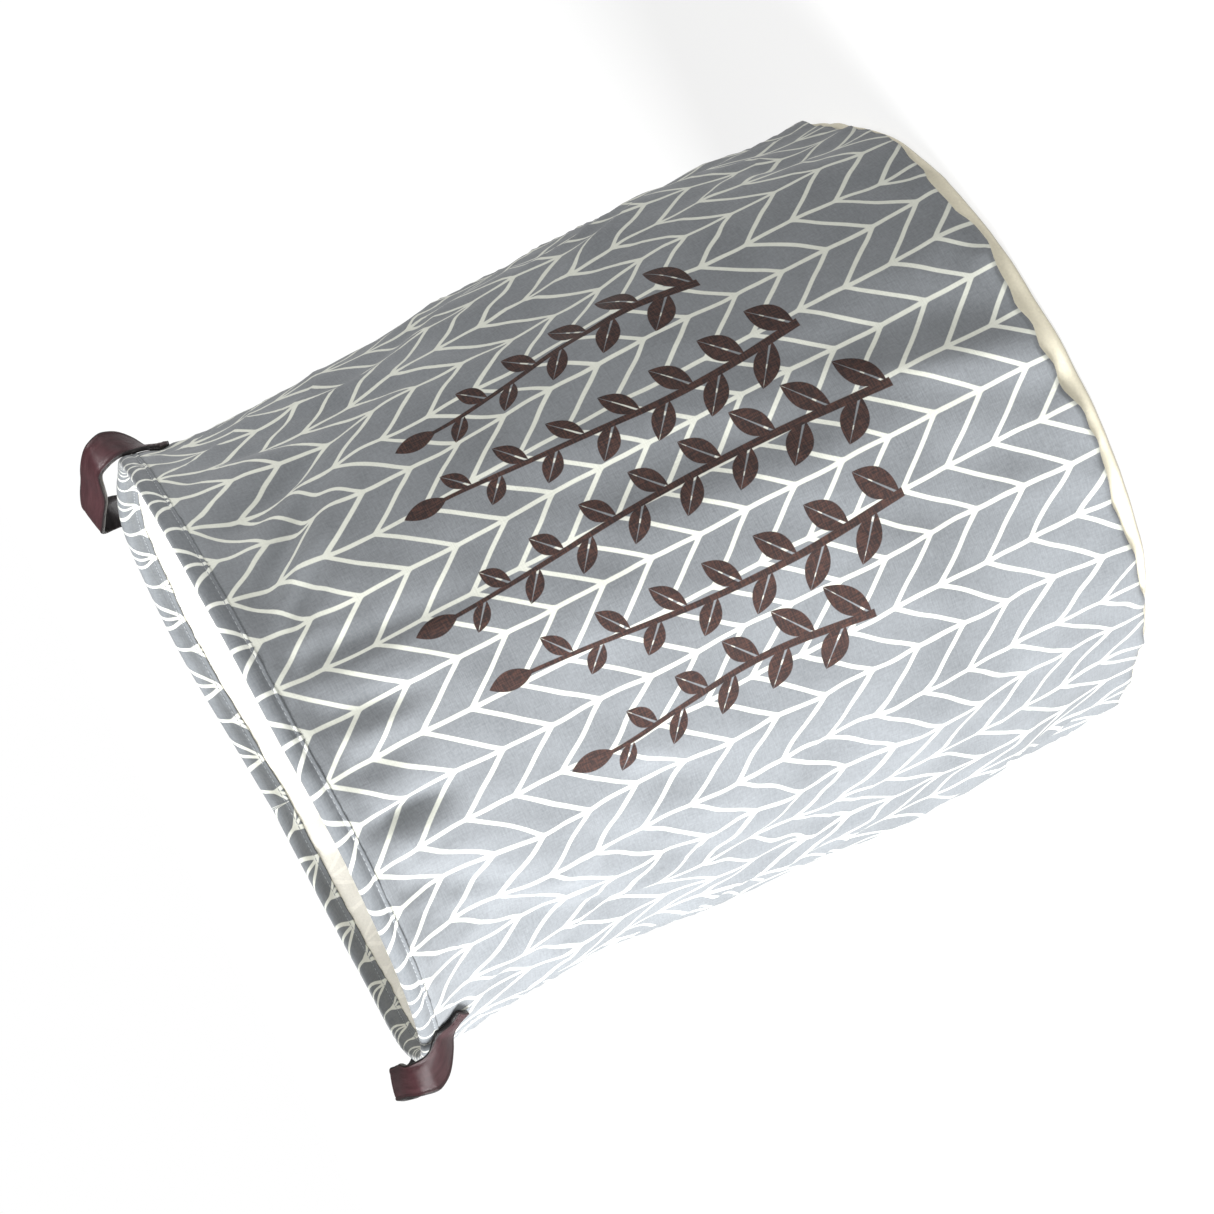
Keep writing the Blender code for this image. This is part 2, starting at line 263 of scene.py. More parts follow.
def add_up_folds(rows, angle, share):
    """The sum of a table's folds at places on the wall, in the unit of its last column."""
    total = np.zeros(np.broadcast(angle, share).shape)
    for middle, height, half_width, half_length, lean, depth in rows:
        across = turned(angle - middle - lean * (share - height)) / half_width
        along = (share - height) / half_length
        total += depth * np.exp(-across**2 - along**2)
    return total


def seam_share(angle):
    """Height of the printed wall's lower edge, as a share of the height."""
    drop = sum(depth * np.exp(-(turned(angle - middle) / half_width) ** 2)
               for middle, half_width, depth in SEAM_DIPS)
    return SEAM_HEIGHT / HEIGHT * (1 - np.minimum(drop, MOST_DROP))


print("Rim at the front:", round(HEIGHT * (1 + float(smooth_between(RIM_WAVE, 0.0))), 4), "m")

# %% [markdown]
# ## Small folds
#
# Canvas with a thin coating doesn't drape, it dents: long shallow folds with rather sharp edges, and a row of
# puckers under the hem where the cloth is gathered onto a wire a little shorter than itself. A table holds
# the folds that can be told apart. The rest is noise, stretched up and down the cloth, with the
# sharp-edged kind that comes from folding the noise over at zero.

# %% Tables of small folds and the noise
SMALL_FOLDS = (
    # angle, height, half width, half length, lean, depth in metres
    (-39.0, 0.925, 2.6, 0.050, 20, -0.0025), (-34.5, 0.905, 2.4, 0.070, 30, 0.0022),
    (-29.6, 0.915, 2.6, 0.050, 10, 0.0036), (-25.6, 0.905, 2.1, 0.052, 0, -0.0060),
    (-20.5, 0.915, 2.4, 0.050, -10, 0.0024), (-15.0, 0.900, 2.6, 0.070, -10, -0.0024),
    (-11.5, 0.905, 2.4, 0.060, 0, 0.0022), (-8.0, 0.880, 2.4, 0.060, 10, -0.0026),
    (-4.0, 0.890, 2.2, 0.090, 10, 0.0026), (-0.6, 0.880, 1.8, 0.110, 8, 0.0020),
    (2.6, 0.880, 2.0, 0.110, 6, -0.0036), (7.0, 0.915, 2.2, 0.045, -118, 0.0028),
    (12.0, 0.905, 2.4, 0.050, -118, -0.0026), (17.5, 0.885, 2.4, 0.065, -118, 0.0044),
    (23.5, 0.885, 2.4, 0.060, -118, -0.0048), (30.5, 0.870, 2.8, 0.080, -90, 0.0030),
    (37.0, 0.850, 2.6, 0.090, -60, -0.0040), (44.0, 0.860, 2.8, 0.080, -20, 0.0024),
    (51.0, 0.850, 2.8, 0.070, 30, -0.0034), (57.0, 0.760, 2.8, 0.080, 60, 0.0030),
    (48.0, 0.700, 3.2, 0.090, 80, -0.0028), (63.0, 0.640, 3.0, 0.080, -60, -0.0030),
    (53.0, 0.540, 3.0, 0.080, 70, 0.0024), (43.0, 0.560, 3.0, 0.090, 90, -0.0022),
    (67.0, 0.440, 3.4, 0.090, 50, -0.0028), (60.0, 0.300, 3.2, 0.090, -50, 0.0024),
    (49.0, 0.360, 3.4, 0.120, -30, -0.0022), (70.0, 0.240, 3.2, 0.080, 40, -0.0022),
    (-44.0, 0.870, 2.6, 0.070, 62, -0.0033), (-48.5, 0.830, 2.4, 0.080, 62, 0.0027),
    (-53.5, 0.790, 2.6, 0.090, 90, -0.0037), (-58.5, 0.750, 2.8, 0.090, 95, 0.0030),
    (-64.0, 0.720, 3.0, 0.090, 80, -0.0034), (-69.0, 0.830, 2.8, 0.080, -20, -0.0031),
    (-57.0, 0.640, 3.0, 0.070, 100, -0.0022), (-47.0, 0.640, 3.2, 0.070, 60, 0.0015),
    (-58.0, 0.540, 3.2, 0.100, -50, 0.0022), (-63.5, 0.520, 2.8, 0.080, -50, -0.0027),
    (-71.0, 0.440, 3.2, 0.090, 40, -0.0028), (-64.0, 0.340, 3.4, 0.100, -40, -0.0022),
    (-73.0, 0.250, 3.2, 0.090, 30, 0.0024), (-56.0, 0.300, 3.6, 0.090, 30, 0.0018),
    (-39.5, 0.640, 2.6, 0.045, 60, -0.0019), (-35.5, 0.640, 3.0, 0.055, 60, 0.0018),
    (-1.0, 0.130, 4.2, 0.140, 30, 0.0040), (6.5, 0.140, 4.0, 0.140, 30, -0.0040),
    (-4.0, 0.360, 5.0, 0.160, 10, 0.0022), (3.0, 0.380, 5.0, 0.160, 10, -0.0024),
    (-19.0, 0.200, 5.0, 0.120, -20, -0.0020), (25.0, 0.200, 5.0, 0.140, 10, -0.0022),
    (16.0, 0.560, 5.0, 0.130, 30, 0.0024), (-28.0, 0.540, 5.0, 0.130, -30, -0.0020),
    (-12.0, 0.660, 5.0, 0.120, -30, 0.0018), (29.0, 0.620, 4.6, 0.110, -50, -0.0026),
    (-36.0, 0.330, 5.0, 0.130, 40, -0.0020), (33.0, 0.400, 4.6, 0.120, -40, 0.0022),
    (-52.0, 0.090, 3.4, 0.050, 40, -0.0025), (-44.0, 0.060, 2.8, 0.045, -30, 0.0018),
    (34.0, 0.070, 3.0, 0.050, 30, -0.0032), (43.0, 0.090, 3.2, 0.060, -40, 0.0024),
    (54.0, 0.120, 3.4, 0.070, 40, -0.0030), (-12.0, 0.050, 3.4, 0.040, 0, -0.0022),
    (17.0, 0.055, 3.0, 0.040, 20, 0.0022), (-30.0, 0.060, 3.2, 0.045, 0, -0.0020),
)
CLOTH_NOISE = {
    # what it makes: lean over the whole height in degrees, size of its lumps round and up in metres, seed
    "crease": (60, 0.030, 0.085, 3.1),
    "cross crease": (-50, 0.022, 0.060, 9.4),
    "broad dent": (70, 0.042, 0.085, 17.3),
    "narrow dent": (-60, 0.021, 0.070, 29.1),
    "gather": (0, 0.0085, 0.080, 5.7),
    "edge pucker": (0, 0.010, 0.030, 23.9),
    "uneven edge": (0, 0.012, 0.030, 77.0),
    "lifted edge": (0, 0.016, 0.050, 83.0),
    "slack": (40, 0.020, 0.090, 41.0),
    "hem lump": (0, 0.012, 0.030, 61.0),
    "hem ripple": (0, 0.004, 0.020, 67.0),
}
GATHER_DEPTH = 0.0017          # puckers under the hem
GATHER_STARTS = 0.006          # how far below the hem they are full
GATHER_REACH = 0.045           # how far down they run
CRUMPLE_DEPTH = 0.0027         # sharp-edged folds at the sides, where the straps pull
SIDE_FROM = 0.55               # sine of the angle from the front at which those start
SIDE_OVER = 0.35               # how much more of it there is until they are full
CALM_SHARE = 0.12              # height share below which they fade
CALM_LEAST = 0.35              # what is left of them at the floor
SOFT_DEPTH = 0.0021            # slow unevenness all over
SEAM_PUCKER = 0.0006           # along the wall's lower edge
PUCKER_REACH = 0.022           # how far up from that edge
SEAM_TUCK = 0.0016             # how far the cloth turns in towards the floor
TUCK_REACH = 0.013
HEM_HOLDS = 0.020              # below this distance from the hem, the cloth folds freely


def cloth_noise(name, angle, share):
    """One of the table's noises on the tube, smooth, from -1 to 1, with no seam."""
    lean, around_size, upright_size, seed = CLOTH_NOISE[name]
    angle, share = np.broadcast_arrays(angle + lean * share, share)
    turn = np.radians(angle - 90)
    xs = np.cos(turn) * BODY_RADIUS / around_size + seed
    ys = np.sin(turn) * BODY_RADIUS / around_size
    zs = share * HEIGHT / upright_size
    values = [noise.noise((x, y, z)) for x, y, z in zip(xs.ravel(), ys.ravel(), zs.ravel())]
    return np.array(values).reshape(xs.shape)


def small_depth(angle, share):
    """How far the small folds stand out from the main shape, in metres."""
    angle, share = np.broadcast_arrays(np.asarray(angle, float), np.asarray(share, float))
    below_rim = (1 - HEM_HEIGHT / HEIGHT - share) * HEIGHT
    gathered = np.exp(-(np.maximum(below_rim, 0) / GATHER_REACH) ** 2)
    under_hem = gathered * np.clip(below_rim / GATHER_STARTS, 0, 1)
    free = np.clip(below_rim / HEM_HOLDS, 0, 1)
    side = np.clip((np.abs(np.sin(np.radians(angle))) - SIDE_FROM) / SIDE_OVER, 0, 1)
    middle = np.clip(share / CALM_SHARE, CALM_LEAST, 1)
    crease = 1 - 2 * np.abs(cloth_noise("crease", angle, share)) ** 0.7
    crumple = crease - 0.35 + 0.45 * cloth_noise("cross crease", angle, share)
    soft = cloth_noise("broad dent", angle, share) + 0.45 * cloth_noise("narrow dent", angle, share)
    pucker = cloth_noise("edge pucker", angle, share) * np.exp(-(share * HEIGHT / PUCKER_REACH) ** 2)
    return (add_up_folds(SMALL_FOLDS, angle, share) * free
            + CRUMPLE_DEPTH * crumple * side * free * middle
            + SOFT_DEPTH * soft * free
            + GATHER_DEPTH * cloth_noise("gather", angle, share) * under_hem
            + SEAM_PUCKER * pucker
            - SEAM_TUCK * np.exp(-(share * HEIGHT / TUCK_REACH) ** 2))


print("Small folds in the table:", len(SMALL_FOLDS))


# %% Points on the cloth
def outer_points(angle, share):
    """Points of the canvas's outer face."""
    angle, share = np.broadcast_arrays(np.asarray(angle, float), np.asarray(share, float))
    radius = BODY_RADIUS * (smooth_between(PROFILE, share) + add_up_folds(FOLDS, angle, share))
    radius = radius + small_depth(angle, share)
    wave = smooth_between(RIM_WAVE, turned(angle))
    height = HEIGHT * (share + wave * np.maximum(share, 0) ** LIFT_FADE)
    turn = np.radians(angle - 90)
    return np.stack([radius * np.cos(turn), radius * np.sin(turn), height], axis=-1)


def square_out(angle, share):
    """Directions square to the outer face."""
    sideways = outer_points(angle + 0.6, share) - outer_points(angle - 0.6, share)
    upwards = outer_points(angle, share + 0.004) - outer_points(angle, share - 0.004)
    out = np.cross(sideways, upwards)
    return out / np.linalg.norm(out, axis=-1, keepdims=True)


def skin(angle, share, depth):
    """Points below the outer face, measured square to it."""
    return outer_points(angle, share) - square_out(angle, share) * np.asarray(depth)[..., None]


def ring_angles(count):
    """Angles once round the hamper, starting at the back, where the print's seam is."""
    return np.arange(count) * 360 / count - 180


def cloth_shift(grid):
    """How far the print slides round the hamper where folds take up cloth, as a share of one turn."""
    steps = np.linalg.norm(np.roll(grid, -1, axis=1) - grid, axis=-1)
    used = np.cumsum(steps, axis=1) - steps
    slide = used / steps.sum(axis=1, keepdims=True) - np.arange(grid.shape[1]) / grid.shape[1]
    reach = grid.shape[1] // 20
    window = np.hanning(2 * reach + 1)
    slow = sum(weight * np.roll(slide, k - reach, axis=1) for k, weight in enumerate(window)) / window.sum()
    return slide - slow


# %% Make a mesh from a grid of points
def grid_mesh(name, grid, material, cloth=None, closed_section=False):
    """Joins a grid of points, rows of rings, into faces, with a UV map of cloth places for the print."""
    rows, count = grid.shape[:2]
    mesh = bpy.data.meshes.new(name)
    row, column = np.indices((rows if closed_section else rows - 1, count)).reshape(2, -1)
    next_row, next_column = (row + 1) % rows, (column + 1) % count
    faces = np.stack([row * count + column, next_row * count + column,
                      next_row * count + next_column, row * count + next_column], axis=1)
    mesh.from_pydata(grid.reshape(-1, 3).tolist(), [], faces.tolist())
    if cloth is not None:
        shift, height = cloth
        u = np.stack([column, column, column + 1, column + 1], axis=1) / count + shift.ravel()[faces]
        layer = mesh.uv_layers.new(name="cloth")
        layer.data.foreach_set("uv", np.stack([u, height.ravel()[faces]], axis=-1).reshape(-1))
    mesh.materials.append(material)
    mesh.shade_smooth()
    obj = bpy.data.objects.new(name, mesh)
    bpy.context.scene.collection.objects.link(obj)
    return obj


def close_pole(obj):
    """Joins the points of a ring that has shrunk to nothing in the middle of a floor."""
    body = bmesh.new()
    body.from_mesh(obj.data)
    bmesh.ops.remove_doubles(body, verts=body.verts, dist=1e-5)
    body.to_mesh(obj.data)
    body.free()


def give_thickness(obj, thickness):
    """Turns an open sheet into a closed wall, inwards."""
    solid = obj.modifiers.new("thickness", "SOLIDIFY")
    solid.thickness = thickness
    solid.offset = -1
    solid.use_even_offset = True


# %% [markdown]
# ## The chevron print
#
# The canvas is cream cotton and linen, woven, then screen printed in grey. What looks like cream lines is
# bare cloth left between printed bars. Each line is a set of points at a set distance from a zigzag, so a
# shader can draw them all with two folded rulers: one counts columns round the hamper, the other counts lines
# up it. A node group keeps that drawing in one place, for the wall and the hem alike.

# %% Print sizes
COLUMN_COUNT = 44                                    # columns once round
COLUMN_MM = 26.7
LINE_EVERY_MM = 27.3                                 # from one line to the next up the cloth
LINE_CLIMB_MM = 33.3                                 # how far a line climbs over one column
VALLEY_ANGLE = -7.25                                 # degrees from the front to a spine at a line's low point
VALLEY_MM = 406.8 - 14 * LINE_EVERY_MM               # height of a low point on that spine
LINE_HALF_MM = 1.18
INK_EDGE_MM = 0.28
DRIFT_MM = 2.0                                       # how far the lines wander at the front
SIDE_DRIFT_MM = 9.0                                  # how much more at the sides, where straps pull
DRIFT_SCALE = 0.030                                  # its lumps are about 33 mm wide
JOINT_MM = 1.1                                       # rounding where lines meet spines
VALLEY_COLUMN = (VALLEY_ANGLE + 180) / 360 * COLUMN_COUNT


def chevron_group():
    """A node group that gives 1 on the bare cream lines and 0 on the printed grey."""
    tree = bpy.data.node_groups.new("chevron lines", "ShaderNodeTree")
    for name in ("Lines", "Across mm", "Up mm"):
        tree.interface.new_socket(name, in_out="OUTPUT", socket_type="NodeSocketFloat")
    cloth = add(tree, "ShaderNodeUVMap", uv_map="cloth")
    place = add(tree, "ShaderNodeSeparateXYZ", {0: cloth})
    across = add(tree, "ShaderNodeMath",
                 {0: place.outputs["X"], 1: COLUMN_COUNT * COLUMN_MM}, operation="MULTIPLY")
    up = add(tree, "ShaderNodeMath", {0: place.outputs["Y"], 1: HEIGHT * 1000}, operation="MULTIPLY")
    flat = add(tree, "ShaderNodeCombineXYZ", {"X": across, "Y": up})
    wander = add(tree, "ShaderNodeTexNoise", {"Vector": flat, "Scale": DRIFT_SCALE, "Detail": 1.0})
    drift = add(tree, "ShaderNodeVectorMath",
                {0: wander.outputs["Color"], 1: (0.5, 0.5, 0.5)}, operation="SUBTRACT")
    turn = add(tree, "ShaderNodeMath", {0: place.outputs["X"], 1: 2 * math.pi}, operation="MULTIPLY")
    turn = add(tree, "ShaderNodeMath", {0: turn}, operation="SINE")
    turn = add(tree, "ShaderNodeMath", {0: turn, 1: turn}, operation="MULTIPLY")
    pull = add(tree, "ShaderNodeMath", {0: turn, 1: SIDE_DRIFT_MM, 2: DRIFT_MM}, operation="MULTIPLY_ADD")
    drift = add(tree, "ShaderNodeVectorMath", {0: drift, "Scale": pull}, operation="SCALE")
    drawn = add(tree, "ShaderNodeVectorMath", {0: flat, 1: drift}, operation="ADD")
    drawn = add(tree, "ShaderNodeSeparateXYZ", {0: drawn})
    columns = add(tree, "ShaderNodeMath",
                  {0: drawn.outputs["X"], 1: 1 / COLUMN_MM, 2: -VALLEY_COLUMN}, operation="MULTIPLY_ADD")
    zigzag = add(tree, "ShaderNodeMath", {0: columns, 1: 1.0}, operation="PINGPONG")
    zigzag = add(tree, "ShaderNodeMath",
                 {0: zigzag, 1: -LINE_CLIMB_MM, 2: drawn.outputs["Y"]}, operation="MULTIPLY_ADD")
    lines = add(tree, "ShaderNodeMath", {0: zigzag, 1: VALLEY_MM}, operation="SUBTRACT")
    lines = add(tree, "ShaderNodeMath", {0: lines, 1: LINE_EVERY_MM / 2}, operation="PINGPONG")
    slope = math.cos(math.atan2(LINE_CLIMB_MM, COLUMN_MM))
    lines = add(tree, "ShaderNodeMath", {0: lines, 1: slope}, operation="MULTIPLY")
    spines = add(tree, "ShaderNodeMath", {0: columns, 1: 0.5}, operation="PINGPONG")
    spines = add(tree, "ShaderNodeMath", {0: spines, 1: COLUMN_MM}, operation="MULTIPLY")
    near = add(tree, "ShaderNodeMath", {0: lines, 1: spines, 2: JOINT_MM}, operation="SMOOTH_MIN")
    mask = add(tree, "ShaderNodeMapRange", {
        "Value": near, "From Min": LINE_HALF_MM - INK_EDGE_MM, "From Max": LINE_HALF_MM + INK_EDGE_MM,
        "To Min": 1.0, "To Max": 0.0}, interpolation_type="SMOOTHSTEP")
    add(tree, "NodeGroupOutput", {"Lines": mask, "Across mm": across, "Up mm": up})
    return tree


chevron = chevron_group()
print("Chevron columns:", COLUMN_COUNT, "each", COLUMN_MM, "mm")

# %% [markdown]
# ## The brown overprint
#
# A second screen lays a dark brown design over the front. Here it is a row of leaf sprigs. One sprig is a
# swaying stem with the same leaf again and again, left and right in turn. A ruler that starts afresh at every
# leaf lets the shader draw one leaf and get them all, and a size that shrinks up the stem keeps it from
# looking stamped. Everything comes down to one number, the distance from the nearest inked edge. A table
# holds the sums that lead to it, and a loop makes one node of each.

# %% Leaf sprig
LEAF_SPACING_MM = 31.0
LEAF_LENGTH_MM = 29.0
LEAF_HALF_MM = 7.6
LEAF_TILT = math.radians(40)
LEAF_START = 0.06              # where on the ruler a leaf leaves the stem
LEAF_SHRINKS = 0.42            # how much smaller the last leaf is than the first
STEM_HALF_MM = 2.4
STEM_THINS = 0.55              # how much of that the stem loses by its tip
STEM_SWINGS = 4.2              # radians of sway from foot to tip
VEIN_HALF_MM = 0.65
TIP_LEAF_MM = 24.0
TIP_HALF_MM = 5.4
HIDE_LEAF_MM = 40.0            # added to the distance from a leaf that would be cut at a sprig's foot or tip
SPRIGS = (
    # place from the front and foot above the floor, length and sway in millimetres
    (-101, 150, 158, 5),
    (-51, 112, 216, -5),
    (0, 92, 256, 5),
    (51, 116, 208, -5),
    (101, 146, 164, 5),
)


SPRIG_SUMS = (
    # result, sum, and the results or numbers it is made of
    ("rise", "SUBTRACT", "Up", "Foot"),
    ("share", "DIVIDE", "rise", "Length"),
    ("swing", "MULTIPLY", "share", STEM_SWINGS),
    ("swing", "SINE", "swing"),
    ("middle", "MULTIPLY_ADD", "swing", "Sway", "Place"),
    ("aside", "SUBTRACT", "Across", "middle"),
    ("apart", "ABSOLUTE", "aside"),
    # distance from the stem, which thins towards the tip and stops at both ends
    ("thin", "MULTIPLY_ADD", "share", -STEM_HALF_MM * STEM_THINS, STEM_HALF_MM),
    ("stem", "SUBTRACT", "apart", "thin"),
    ("half way", "SUBTRACT", "share", 0.5),
    ("half way", "ABSOLUTE", "half way"),
    ("past end", "SUBTRACT", "half way", 0.5),
    ("past end", "MULTIPLY", "past end", "Length"),
    ("stem", "MAXIMUM", "stem", "past end"),
    # which leaf this is: a ruler that starts afresh, half a leaf later on the left
    ("on left", "LESS_THAN", "aside", 0.0),
    ("count", "MULTIPLY", "rise", 1 / LEAF_SPACING_MM),
    ("count", "MULTIPLY_ADD", "on left", 0.5, "count"),
    ("number", "FLOOR", "count"),
    ("height", "SUBTRACT", "count", "number"),
    ("height", "SUBTRACT", "height", LEAF_START),
    ("height", "MULTIPLY", "height", LEAF_SPACING_MM),
    ("aged", "MULTIPLY", "number", LEAF_SPACING_MM),
    ("aged", "DIVIDE", "aged", "Length"),
    ("size", "MULTIPLY_ADD", "aged", -LEAF_SHRINKS, 1.0),
    # place on the leaf, along it and across it
    ("turned x", "MULTIPLY", "apart", math.cos(LEAF_TILT)),
    ("lengthways", "MULTIPLY_ADD", "height", math.sin(LEAF_TILT), "turned x"),
    ("turned y", "MULTIPLY", "apart", -math.sin(LEAF_TILT)),
    ("crossways", "MULTIPLY_ADD", "height", math.cos(LEAF_TILT), "turned y"),
    ("crossways", "ABSOLUTE", "crossways"),
    ("leaf length", "MULTIPLY", "size", LEAF_LENGTH_MM),
    ("part", "DIVIDE", "lengthways", "leaf length"),
    ("rest", "SUBTRACT", 1.0, "part"),
    # distance from the leaf's edge, with its vein left out
    ("belly", "MULTIPLY", "part", "rest"),
    ("belly", "MULTIPLY", "belly", 4 * LEAF_HALF_MM),
    ("belly", "MULTIPLY", "belly", "size"),
    ("leaf", "SUBTRACT", "crossways", "belly"),
    ("vein", "MULTIPLY_ADD", "part", -VEIN_HALF_MM, VEIN_HALF_MM),
    ("vein", "SUBTRACT", "vein", "crossways"),
    ("leaf", "MAXIMUM", "leaf", "vein"),
    # no leaf below the foot or too near the tip
    ("root", "MULTIPLY_ADD", "on left", -0.5, "number"),
    ("too low", "LESS_THAN", "root", -0.1),
    ("root", "MULTIPLY", "root", LEAF_SPACING_MM),
    ("last root", "SUBTRACT", "Length", LEAF_SPACING_MM / 2),
    ("too high", "GREATER_THAN", "root", "last root"),
    ("hidden", "MAXIMUM", "too low", "too high"),
    ("leaf", "MULTIPLY_ADD", "hidden", HIDE_LEAF_MM, "leaf"),
    ("ink", "MINIMUM", "stem", "leaf"),
    # one upright leaf at the tip
    ("tip rise", "SUBTRACT", "rise", "Length"),
    ("tip part", "MULTIPLY_ADD", "tip rise", 1 / TIP_LEAF_MM, 0.25),
    ("tip rest", "SUBTRACT", 1.0, "tip part"),
    ("tip", "MULTIPLY", "tip part", "tip rest"),
    ("tip", "MULTIPLY_ADD", "tip", -4 * TIP_HALF_MM, "apart"),
    ("ink", "MINIMUM", "ink", "tip"),
)


def sprig_group():
    """A node group that gives 1 on one printed sprig and 0 beside it."""
    tree = bpy.data.node_groups.new("leaf sprig", "ShaderNodeTree")
    for name in ("Across", "Up", "Place", "Foot", "Length", "Sway"):
        tree.interface.new_socket(name, in_out="INPUT", socket_type="NodeSocketFloat")
    tree.interface.new_socket("Ink", in_out="OUTPUT", socket_type="NodeSocketFloat")
    found = {socket.name: socket for socket in add(tree, "NodeGroupInput").outputs}
    for result, operation, *terms in SPRIG_SUMS:
        inputs = {i: found.get(term, term) for i, term in enumerate(terms)}
        found[result] = add(tree, "ShaderNodeMath", inputs, operation=operation)
    ink = add(tree, "ShaderNodeMapRange", {
        "Value": found["ink"], "From Min": -INK_EDGE_MM, "From Max": INK_EDGE_MM, "To Min": 1.0,
        "To Max": 0.0}, interpolation_type="SMOOTHSTEP")
    add(tree, "NodeGroupOutput", {"Ink": ink})
    return tree


sprig = sprig_group()
print("Sprigs:", len(SPRIGS))

# %% [markdown]
# ## Canvas and plain cloth
#
# Woven cloth is matt, a little fuzzy at grazing angles and never one colour: some threads are thicker, and
# thick ones take less ink. Real threads here are about 0.5 mm apart, finer than a pixel of the picture, so
# the weave is drawn at 0.9 mm, as the slubs that the eye picks out. They run both ways, as long thin noise.

# %% Woven cloth
SLUB_MM = 0.9
FLECK_MM = 1.6                 # uneven ink, in flecks
PATCH_SCALE = 0.022            # and in broad patches, about 45 mm wide
SLUB_LENGTH = 7.0              # times as long as wide


def slubs(tree, across, up):
    """Noise in long thin streaks both ways, from 0 to 1, for thick threads."""
    streaks = []
    for along, over in ((across, up), (up, across)):
        long_way = add(tree, "ShaderNodeMath",
                       {0: along, 1: 1 / (SLUB_MM * SLUB_LENGTH)}, operation="MULTIPLY")
        short_way = add(tree, "ShaderNodeMath", {0: over, 1: 1 / SLUB_MM}, operation="MULTIPLY")
        place = add(tree, "ShaderNodeCombineXYZ",
                    {"X": long_way, "Y": short_way, "Z": float(len(streaks) * 7)})
        streaks.append(add(tree, "ShaderNodeTexNoise", {"Vector": place, "Scale": 1.0, "Detail": 1.0}))
    both = add(tree, "ShaderNodeMath", {0: streaks[0], 1: streaks[1]}, operation="ADD")
    return add(tree, "ShaderNodeMath", {0: both, 1: 0.5}, operation="MULTIPLY")


def cloth_shader(name, roughness, sheen):
    """A new material with the constant values of a woven cloth."""
    material = bpy.data.materials.new(name)
    material.use_nodes = True
    shader = material.node_tree.nodes["Principled BSDF"]
    shader.inputs["Roughness"].default_value = roughness
    shader.inputs["Specular IOR Level"].default_value = 0.2
    shader.inputs["Sheen Weight"].default_value = sheen
    shader.inputs["Sheen Roughness"].default_value = 0.5
    return material, material.node_tree, shader


# %% Printed canvas
def printed_canvas(name, ink_hex, bare_hex, with_sprigs):
    """Cotton and linen canvas, screen printed in grey: matt, with cream lines and thick threads."""
    material, tree, shader = cloth_shader(name, 0.9, 0.15)
    lines = add(tree, "ShaderNodeGroup", node_tree=chevron)
    across, up = lines.outputs["Across mm"], lines.outputs["Up mm"]
    thread = slubs(tree, across, up)
    flat = add(tree, "ShaderNodeCombineXYZ", {"X": across, "Y": up})
    patches = add(tree, "ShaderNodeTexNoise", {"Vector": flat, "Scale": PATCH_SCALE, "Detail": 3.0})
    flecks = add(tree, "ShaderNodeTexNoise", {"Vector": flat, "Scale": 1 / FLECK_MM, "Detail": 2.0})
    tone = add(tree, "ShaderNodeMath", {0: thread, 1: patches}, operation="ADD")
    tone = add(tree, "ShaderNodeMath", {0: flecks, 1: 0.7, 2: tone}, operation="MULTIPLY_ADD")
    tone = add(tree, "ShaderNodeMapRange", {
        "Value": tone, "From Min": 0.95, "From Max": 1.75, "To Min": 0.80, "To Max": 1.20})
    ink = add(tree, "ShaderNodeMix", {"Factor": 1.0, "A": colour(ink_hex), "B": tone},
              data_type="RGBA", blend_type="MULTIPLY")
    bare_tone = add(tree, "ShaderNodeMapRange", {
        "Value": thread, "From Min": 0.35, "From Max": 0.65, "To Min": 0.95, "To Max": 1.03})
    bare = add(tree, "ShaderNodeMix", {"Factor": 1.0, "A": colour(bare_hex), "B": bare_tone},
               data_type="RGBA", blend_type="MULTIPLY")
    surface = add(tree, "ShaderNodeMix", {"Factor": lines.outputs["Lines"], "A": ink.outputs["Result"],
                                          "B": bare.outputs["Result"]}, data_type="RGBA")
    if with_sprigs:
        surface = overprint(tree, surface, across, up, thread)
    tree.links.new(surface.outputs["Result"], shader.inputs["Base Color"])
    bump = add(tree, "ShaderNodeBump", {"Height": thread, "Strength": 0.35, "Distance": 0.0006})
    tree.links.new(bump.outputs["Normal"], shader.inputs["Normal"])
    return material


# %% Brown ink
BROWN_INK = "2B2120"
RUSTY_INK = "46302A"


def overprint(tree, under, across, up, thread):
    """Lays the sprigs over the canvas in dark brown pigment, a little rusty where the ink is thin."""
    front = add(tree, "ShaderNodeMath", {0: across, 1: COLUMN_COUNT * COLUMN_MM / 2}, operation="SUBTRACT")
    together = None
    for place, foot, length, sway in SPRIGS:
        one = add(tree, "ShaderNodeGroup", {
            "Across": front, "Up": up, "Place": float(place), "Foot": float(foot), "Length": float(length),
            "Sway": float(sway)}, node_tree=sprig)
        together = one if together is None else \
            add(tree, "ShaderNodeMath", {0: together, 1: one}, operation="MAXIMUM")
    rust = add(tree, "ShaderNodeMapRange", {"Value": thread, "From Min": 0.42, "From Max": 0.62})
    brown = add(tree, "ShaderNodeMix", {"Factor": rust, "A": colour(BROWN_INK), "B": colour(RUSTY_INK)},
                data_type="RGBA")
    return add(tree, "ShaderNodeMix", {"Factor": together, "A": under.outputs["Result"],
                                       "B": brown.outputs["Result"]}, data_type="RGBA")


# %% Plain cream cloth
PRINT_FROM = 0.017             # height above which canvas hangs behind the lining, in metres
PRINT_SHOWS = 0.91             # how much darker the lining is over printed grey than over a bare line
CONTACT_SHADE_HEIGHT = 0.0024            # height of the painted contact shadow along the base's foot, in metres
